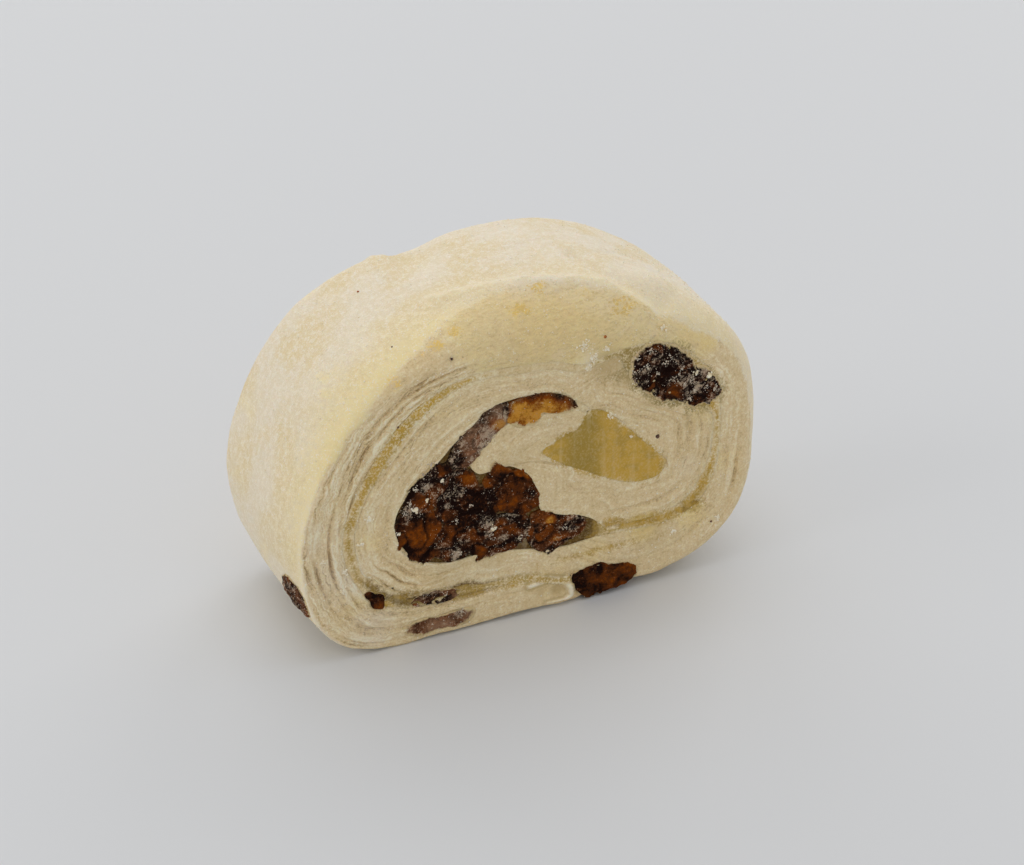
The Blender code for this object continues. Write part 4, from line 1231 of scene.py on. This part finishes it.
def doughMaterial():
    material, tree, shader = newMaterial("raw dough")
    look = doughLook
    spot = inMillimetres(tree)
    colour, height, mottle, powder, strip = cutColours(tree, spot)

    def ragged(name, own, mottled, powdered, start, *more):
        # a painted patch with a ragged edge
        parts = ((painted(tree, name), own), (mottle, mottled), (powder, powdered), *more)
        return total(tree, parts, start)

    def tinted(under, tint, most):
        return blendTo(tree, under, look[tint], times(tree, painted(tree, tint), most))

    wide = grain(tree, spot, 0.11, 2)
    outer = coat(tree, look["skin"], look["skinWarm"], wide, 0.40, 0.62)
    outer = coat(tree, outer, look["flour"], mottle, 0.42, 0.72, 0.45)
    outer = coat(tree, outer, look["flour"], powder, 0.50, 0.72, 0.6)
    outer = coat(tree, outer, look["pit"], powder, 0.42, 0.26, 0.5)
    # the flour attribute also holds the painted highlight along the ridge's crest
    outer = tinted(outer, "flour", 0.75)
    yolk = ragged("yolk", 1.0, 1.3, 0.8, -1.05)
    colour = coat(tree, colour, look["yolk"], yolk, 0.0, 1.0, 0.7)
    colour = tinted(colour, "flour", 0.6)
    skin = step(tree, ragged("skin", 1.0, 0.5, 0.7, -0.6), 0.1, 0.9)
    colour = blendTo(tree, colour, outer, skin)
    butter = ragged("butter", 1.0, 1.2, 0.8, -1.0)
    colour = coat(tree, colour, look["butter"], butter, 0.0, 1.1, 0.9)
    gold = step(tree, ragged("gold", 0.85, 2.0, 1.8, -1.9), 0.25, 0.8)
    gold = times(tree, gold, step(tree, painted(tree, "gold"), 0.02, 0.3))
    colour = blendTo(tree, colour, look["gold"], times(tree, gold, 0.9))
    crumb = grain(tree, strip, 1.0, 3, 0.65, (0.9, 2.4, 2.4))
    coarse = ragged("coarse", 0.7, 1.2, 1.0, -2.0, (crumb, 1.6))
    colour = coat(tree, colour, look["coarse"], coarse, 0.35, 1.1, 0.6)
    fleck = grain(tree, spot, 4.6, 2, 0.6)
    speckle = total(tree, ((fleck, 1.0), (mottle, 0.35), (skin, 0.06)), -0.21)
    colour = coat(tree, colour, look["flour"], speckle, 0.60, 0.68, 0.8)
    # stains, and painted shade round the lip, in its hollow and below the raisin cluster
    colour = tinted(colour, "stainAndShade", 0.8)
    # a darker brown ring of dough round each raisin
    darkRing = total(tree, ((painted(tree, "darkRing"), 1.0), (powder, 0.6)), -0.3)
    colour = coat(tree, colour, look["darkRing"], darkRing, 0.25, 0.6, 0.75)
    finishSurface(tree, shader, look, colour, height)
    return material


custardLook = {
    "rough": 0.5, "specular": 0.1, "soft": (0.2, (1.0, 0.7, 0.3), 1.4), "bump": (0.5, 0.3),
}


def custardMaterial():
    material, tree, shader = newMaterial("custard")
    colour, height = cutColours(tree, inMillimetres(tree))[:2]
    finishSurface(tree, shader, custardLook, colour, height)
    return material


raisinLook = {
    "black": (0.012, 0.0035, 0.002), "brown": (0.085, 0.023, 0.005), "amber": (0.24, 0.056, 0.002),
    "gold": (0.72, 0.34, 0.045), "frost": (0.57, 0.44, 0.31), "edge": (0.20, 0.15, 0.075),
    "veil": (0.36, 0.205, 0.12), "smear": (0.74, 0.57, 0.31),
    "rough": (0.4, 0.65), "specular": 0.04, "soft": (0.1, (1.0, 0.3, 0.1), 1.0), "bump": (0.8, 0.3),
}


def raisinMaterial():
    material, tree, shader = newMaterial("raisin flesh")
    look = raisinLook
    spot = inMillimetres(tree)
    fine = grain(tree, spot, 1.5, 3, 0.65)
    tiny = grain(tree, spot, 3.6, 3, 0.7)
    dust = grain(tree, spot, 7.5, 2, 0.6)

    def ragged(name, own, fineShare, tinyShare, start, *more):
        parts = ((painted(tree, name), own), (fine, fineShare), (tiny, tinyShare), *more)
        return total(tree, parts, start)

    # the folds are painted darker, as shade in them
    tone = ragged("amber", 1.0, 1.1, 0.7, -0.87, (painted(tree, "fold"), -0.42))
    colour = coat(tree, look["black"], look["brown"], tone, -0.05, 0.34)
    colour = coat(tree, colour, look["amber"], tone, 0.25, 0.8)
    colour = coat(tree, colour, look["gold"], tone, 0.75, 1.4)
    veil = ragged("veil", 1.0, 0.9, 0.5, -0.7)
    veil = times(tree, veil, step(tree, painted(tree, "veil"), 0.0, 0.1))
    colour = coat(tree, colour, look["veil"], veil, 0.0, 1.0)
    colour = coat(tree, colour, look["edge"], ragged("edge", 0.9, 1.6, 0.8, -1.7), 0.1, 0.7, 0.5)
    cover = ragged("frost", 0.75, 1.8, 1.2, -2.02, (dust, 0.9))
    colour = coat(tree, colour, look["frost"], cover, 0.28, 0.78, 0.85)
    smear = ragged("smear", 1.2, 1.3, 1.0, -1.15)
    colour = coat(tree, colour, look["smear"], smear, 0.4, 1.1)
    least, most = look["rough"]
    rough = {"Value": fine, "From Min": 0.3, "From Max": 0.7, "To Min": least, "To Max": most}
    rough = put(tree, "MapRange", rough).outputs[0]
    height = total(tree, ((fine, 0.8), (tiny, 0.7), (dust, 0.3)), 0.0)
    finishSurface(tree, shader, look, colour, height, rough)
    return material


# Grains over the raisins and the dough: the attribute that asks for them, how many on a square
# millimetre, their radius and the seed of their places; then the shape of a grain
scattered = {
    "frost_grains": {"mask": "frost", "perArea": 7.0, "sizes": (0.03, 0.12), "seed": 7},
    "flour_grains": {"mask": "grains", "perArea": 0.7, "sizes": (0.05, 0.2), "seed": 8},
    "shape": {"subdivisions": 1, "wonky": 1.1, "stretch": (1.0, 0.8, 0.7), "mostlySmall": 2.5},
}


def scatterTree(name, mask, material):
    tree = bpy.data.node_groups.new(name + " tree", "GeometryNodeTree")
    face = tree.interface
    shape = scattered["shape"]
    for label, kind in (("Geometry", "Geometry"), ("Per area", "Float"), ("Smallest", "Float"),
                        ("Largest", "Float"), ("Seed", "Int")):
        face.new_socket(label, in_out="INPUT", socket_type="NodeSocket" + kind)
    face.new_socket("Geometry", in_out="OUTPUT", socket_type="NodeSocketGeometry")
    inlet = tree.nodes.new("NodeGroupInput").outputs

    def geo(kind, inputs=(), output=0, **settings):
        return put(tree, kind, inputs, **settings).outputs[output]

    wanted = geo("GeometryNodeInputNamedAttribute", {"Name": mask}, data_type="FLOAT")
    density = geo("Math", {0: wanted, 1: inlet["Per area"]}, operation="MULTIPLY")
    spots = geo("GeometryNodeDistributePointsOnFaces", {
        "Mesh": inlet["Geometry"], "Density": density, "Seed": inlet["Seed"]}, "Points")
    ball = geo("GeometryNodeMeshIcoSphere", {
        "Radius": 1.0, "Subdivisions": shape["subdivisions"]}, "Mesh")
    wonky = geo("TexNoise", {"Scale": shape["wonky"]}, "Color")
    offset = geo("VectorMath", {0: wonky, 1: (0.5, 0.5, 0.5)}, operation="SUBTRACT")
    lumpyBall = geo("GeometryNodeSetPosition", {"Geometry": ball, "Offset": offset})
    turned = geo("FunctionNodeRandomValue", {0: (0, 0, 0), 1: (6.283, 6.283, 6.283),
                                             "Seed": inlet["Seed"]}, data_type="FLOAT_VECTOR")
    wide = geo("FunctionNodeRandomValue", {2: 0.0, 3: 1.0, "Seed": inlet["Seed"]}, 1,
               data_type="FLOAT")
    curved = geo("Math", {0: wide, 1: shape["mostlySmall"]}, operation="POWER")
    size = geo("MapRange", {
        "Value": curved, "To Min": inlet["Smallest"], "To Max": inlet["Largest"]})
    three = geo("VectorMath", {0: shape["stretch"], 3: size}, operation="SCALE")
    placed = geo("GeometryNodeInstanceOnPoints", {
        "Points": spots, "Instance": lumpyBall, "Rotation": turned, "Scale": three})
    real = geo("GeometryNodeRealizeInstances", {"Geometry": placed})
    done = geo("GeometryNodeSetMaterial", {"Geometry": real, "Material": material})
    tree.links.new(done, tree.nodes.new("NodeGroupOutput").inputs[0])
    return tree


def scatter(name, carrier, material):
    # grains over a carrier's surface, as many as its mask attribute asks for
    settings = scattered[name]
    tree = scatterTree(name, settings["mask"], material)
    holder = newObject(name + "Holder", carrier.data.copy())
    modifier = holder.modifiers.new("grains", "NODES")
    modifier.node_group = tree
    smallest, largest = settings["sizes"]
    values = {"Per area": settings["perArea"] / mm ** 2, "Smallest": smallest * mm,
              "Largest": largest * mm, "Seed": settings["seed"]}
    for item in tree.interface.items_tree:
        if item.in_out == "INPUT" and item.name in values:
            modifier[item.identifier] = values[item.name]
    evaluated = holder.evaluated_get(bpy.context.evaluated_depsgraph_get())
    mesh = bpy.data.meshes.new_from_object(evaluated)
    bpy.data.objects.remove(holder)
    mesh.name = name
    if not mesh.materials:
        mesh.materials.append(material)
    mesh.shade_smooth()
    print("  ", name, len(mesh.polygons), "faces")
    return newObject(name, mesh)


def joined(name, pieces, key):
    # one mesh of several pieces, with one of their attributes
    points, faces, values, count = [], [], [], 0
    for piece in pieces:
        mesh = piece.data
        points.append(readOut(mesh.vertices, "co", 3))
        values.append(readOut(mesh.attributes[key].data, "value"))
        faces += [tuple(v + count for v in face.vertices) for face in mesh.polygons]
        count += len(mesh.vertices)
    mesh = bpy.data.meshes.new(name)
    mesh.from_pydata(np.vstack(points), [], faces)
    mesh.attributes.new(key, "FLOAT", "POINT").data.foreach_set("value", np.concatenate(values))
    return bpy.data.objects.new(name, mesh)


# Toppings: two colours that mix, and how rough they are; then what they share
toppings = {
    "frost": ((0.58, 0.47, 0.35), (0.74, 0.64, 0.50), 0.6),
    "flour": ((0.95, 0.86, 0.70), (0.88, 0.75, 0.52), 0.8),
    "crumb": ((1.0, 0.90, 0.70), (0.92, 0.77, 0.50), 0.8),
    "dark speck": ((0.05, 0.02, 0.01), (0.13, 0.06, 0.03), 0.6),
    "orange speck": ((0.5, 0.17, 0.03), (0.35, 0.1, 0.02), 0.6),
}
toppingLook = {"specular": 0.5, "soft": (0.2, (1.0, 0.8, 0.6), 0.3), "bump": (0.3, 0.05)}


def toppingMaterial(name):
    colour, other, rough = toppings[name]
    material, tree, shader = newMaterial(name)
    spot = inMillimetres(tree)
    mixed = coat(tree, colour, other, grain(tree, spot, 1.4, 2), 0.4, 0.62)
    finishSurface(tree, shader, toppingLook, mixed, grain(tree, spot, 6.0, 2), rough)
    return material


# Crumbs of dough and frost on the front: (x, z), radius, how many grains in the clump
crumbs = {
    "spots": (
        ((-27.5, 24.2), 0.55, 5), ((-35.0, 18.4), 0.6, 5), ((-31.5, 15.7), 0.55, 6),
        ((-20.1, 24.0), 0.6, 6), ((-15.7, 28.0), 0.35, 3), ((-7.5, 17.4), 0.45, 5),
        ((7.8, 45.7), 1.0, 16), ((9.4, 43.4), 0.9, 12), ((11.4, 44.2), 0.7, 8),
        ((8.6, 41.8), 0.7, 7), ((20.9, 45.6), 0.5, 6), ((29.3, 35.9), 0.5, 3),
        ((26.9, 36.6), 0.45, 3), ((-32.0, 12.5), 0.7, 7), ((-22.9, 20.4), 0.35, 4),
        ((31.8, 9.3), 0.6, 7), ((24.0, 8.6), 0.5, 5), ((16.0, 27.9), 0.35, 3),
        ((12.2, 32.4), 0.5, 6), ((-18.2, 25.2), 0.3, 3), ((-29.0, 20.0), 0.4, 3),
    ),
    "sizes": (0.05, 0.22), "seed": 61,
    "single": (((-27.5, 24.2), 0.5), ((-20.1, 24.0), 0.45), ((29.1, 35.6), 0.45),
               ((16.0, 27.9), 0.25)),
}
# Clumps of frost on the raisins, given in the same way
frostClumps = {
    "spots": (
        ((19.0, 42.3), 0.6, 5), ((21.4, 39.7), 0.7, 6), ((22.3, 40.6), 0.6, 4),
        ((16.8, 41.4), 0.5, 4), ((18.2, 39.9), 0.6, 5), ((16.2, 39.3), 0.6, 5),
        ((22.9, 36.6), 0.6, 5), ((23.8, 37.3), 0.6, 5), ((24.9, 35.3), 0.6, 5),
        ((26.2, 35.8), 0.7, 6), ((26.7, 33.8), 0.6, 5), ((28.6, 33.9), 0.6, 5),
        ((20.1, 38.1), 0.5, 4), ((25.9, 32.4), 0.5, 4), ((24.4, 38.3), 0.5, 4),
        ((30.3, 33.3), 0.6, 5), ((-18.5, 29.6), 0.6, 4), ((-17.5, 31.0), 0.5, 4),
        ((-20.0, 27.4), 0.6, 5), ((-21.9, 23.8), 0.6, 6), ((-21.0, 25.4), 0.5, 5),
        ((-13.6, 20.4), 0.6, 4), ((-11.1, 22.5), 0.5, 4), ((-2.8, 14.4), 0.6, 5),
        ((-7.8, 16.3), 0.7, 6), ((-13.4, 14.4), 0.7, 5), ((4.8, 14.4), 0.6, 4),
        ((-13.0, 32.2), 0.6, 4), ((-12.6, 3.6), 0.8, 7), ((-15.4, 7.6), 0.6, 4),
    ),
    "sizes": (0.05, 0.13), "seed": 61, "single": (),
}
# Dark specks: (x, z) on the front, then (turn, depth) on the skin, radius, orange or not
specks = {
    "front": (((20.5, 26.9), 0.42, False), ((-13.8, 48.1), 0.22, False), ((11.2, 46.3), 0.3, True),
              ((-24.0, 11.0), 0.2, False), ((30.6, 8.8), 0.22, False), ((-22.5, 38.7), 0.2, False)),
    "skin": ((152.2, 21.6, 0.2, True), (149.0, 5.0, 0.14, False)),
}


def clumps(name, balls, material, seed):
    # many small lumpy balls, each (place in millimetres, radius), as one mesh
    bm = bmesh.new()
    bmesh.ops.create_icosphere(bm, subdivisions=2, radius=1.0)
    shape = np.array([v.co for v in bm.verts])
    ballFaces = np.array([[v.index for v in face.verts] for face in bm.faces])
    bm.free()
    points, faces = [], []
    for k, (place, radius) in enumerate(balls):
        uneven = 1 + 0.3 * lumps(shape * 1.3 + k * 2.7, 1.0, seed)
        points.append(shape * uneven[:, None] * radius + place)
        faces.append(ballFaces + k * len(shape))
    return meshObject(name, np.vstack(points), np.vstack(faces).tolist(), material)


def frontPlace(pieces, x, z):
    # the foremost point of the pieces there
    best = -roll["thick"] / 2
    for piece in pieces:
        hit, place, _, _ = piece.ray_cast(((x - roll["middle"]) * mm, -0.03, z * mm), (0, 1, 0))
        if hit:
            best = min(best, place[1] / mm)
    return best


def frontBall(pieces, x, z, radius, sunk):
    return np.array([x, frontPlace(pieces, x, z) + radius * sunk, z]), radius


def buildCrumbs(name, heaps, pieces, material):
    rng = np.random.default_rng(heaps["seed"])
    balls = []
    for (x, z), radius, count in heaps["spots"]:
        for _ in range(3 * count):
            offset = rng.normal(0, radius * 0.45, 2)
            size = rng.uniform(*heaps["sizes"])
            balls.append(frontBall(pieces, x + offset[0], z + offset[1], size, 0.2))
    balls += [frontBall(pieces, x, z, radius, 0.3) for (x, z), radius in heaps["single"]]
    return clumps(name, balls, material, 62)


def buildSpecks(pieces, material, orange):
    balls = [frontBall(pieces, x, z, radius, 0.35) for (x, z), radius, isOrange in specks["front"]
             if isOrange == orange]
    for turn, depth, radius, isOrange in specks["skin"]:
        if isOrange == orange:
            x, z = outside(np.array([turn]), np.array([depth]))[0]
            balls.append((np.array([x, depth - roll["thick"] / 2, z]), radius))
    return clumps("specksOrange" if orange else "specksDark", balls, material, 63)


stage = {
    "floor": (0.713, 0.718, 0.729), "side": 3.0, "rough": 0.6,
    "sky": (0.97, 0.985, 1.0), "skyStrength": 0.61,
    "lampTarget": (0, 0, 0.03), "lampColour": (1.0, 0.985, 0.965),
}
# Square lamps: name, place, side, watts
lamps = (
    ("left", (-0.95, 0.05, 0.5), 0.6, 1.5), ("top", (0.0, 0.05, 1.1), 0.8, 1.6),
    ("backRight", (0.75, 0.6, 0.6), 0.6, 1.5), ("back", (0.0, 1.2, 0.5), 0.9, 1.8),
)
view = {
    "lens": 96.15, "target": (3.15, 0.0, 23.61), "distance": 430.0,
    "azimuth": 24.5, "elevation": 30.0,
}


def aimed(holder, place, forward):
    holder.location = place
    holder.rotation_euler = forward.to_track_quat("-Z", "Y").to_euler()
    return holder


def buildStage():
    bm = bmesh.new()
    bmesh.ops.create_grid(bm, x_segments=8, y_segments=8, size=stage["side"] / 2)
    mesh = bpy.data.meshes.new("floor")
    bm.to_mesh(mesh)
    bm.free()
    floor = newObject("floor", mesh)
    material, tree, shader = newMaterial("floor paper")
    soft = grain(tree, put(tree, "TexCoord").outputs["Object"], 3.0, 2)
    tint = blendTo(tree, stage["floor"], tuple(c * 0.985 for c in stage["floor"]), soft)
    tree.links.new(tint, shader.inputs["Base Color"])
    shader.inputs["Roughness"].default_value = stage["rough"]
    mesh.materials.append(material)
    world = bpy.data.worlds.new("studio")
    bpy.context.scene.world = world
    world.use_nodes = True
    sky = world.node_tree.nodes["Background"]
    sky.inputs["Color"].default_value = (*stage["sky"], 1.0)
    sky.inputs["Strength"].default_value = stage["skyStrength"]
    for name, place, side, watts in lamps:
        lamp = bpy.data.lights.new(name, "AREA")
        lamp.size = side
        lamp.energy = watts
        lamp.color = stage["lampColour"]
        aimed(newObject(name, lamp), Vector(place), Vector(stage["lampTarget"]) - Vector(place))
    return floor


def buildCamera():
    azimuth, elevation = math.radians(view["azimuth"]), math.radians(view["elevation"])
    level = math.cos(elevation)
    forward = Vector((math.sin(azimuth) * level, math.cos(azimuth) * level, -math.sin(elevation)))
    lens = bpy.data.cameras.new("camera")
    lens.lens = view["lens"]
    lens.sensor_width = 36.0
    lens.clip_start = 0.01
    place = (Vector(view["target"]) - forward * view["distance"]) * mm
    bpy.context.scene.camera = aimed(newObject("camera", lens), place, forward)


bpy.context.scene.view_settings.view_transform = "Standard"
floor = buildStage()
buildCamera()
print("stage and camera ready")

places = raisinPlaces()
doughPiece = buildDough(doughMaterial(), places)
print("dough", len(doughPiece.data.polygons), "faces")
custardFinish = custardMaterial()
filmPiece = buildFilm(custardFinish)
pocketPiece = buildPocket(custardFinish)
print("custard", len(filmPiece.data.polygons), len(pocketPiece.data.polygons), "faces")
flesh = raisinMaterial()
raisinPieces = {}
for name, settings in places.items():
    others = [otherSettings[:3] for otherName, otherSettings in places.items() if otherName != name]
    raisinPieces[name] = buildRaisin(name, *settings, flesh, others)
print("raisins", len(raisinPieces))
finishes = {name: toppingMaterial(name) for name in toppings}
ice = scatter("frost_grains", joined("raisins", raisinPieces.values(), "frost"), finishes["frost"])
flourGrains = scatter("flour_grains", doughPiece, finishes["flour"])
fronts = [doughPiece, filmPiece, pocketPiece, *raisinPieces.values()]
extras = [ice, flourGrains, buildCrumbs("crumbs", crumbs, fronts, finishes["crumb"]),
          buildCrumbs("frost_clumps", frostClumps, fronts, finishes["frost"]),
          buildSpecks(fronts, finishes["dark speck"], False),
          buildSpecks(fronts, finishes["orange speck"], True)]
for piece in extras:
    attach(piece, "root")
print("grains, crumbs and specks", [len(piece.data.polygons) for piece in extras])

for node, piece in {"dough": doughPiece, "custard_film": filmPiece, "custard_pocket": pocketPiece,
                    **raisinPieces}.items():
    piece.name = node + "_look"
    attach(piece, "root")
    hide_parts(node)
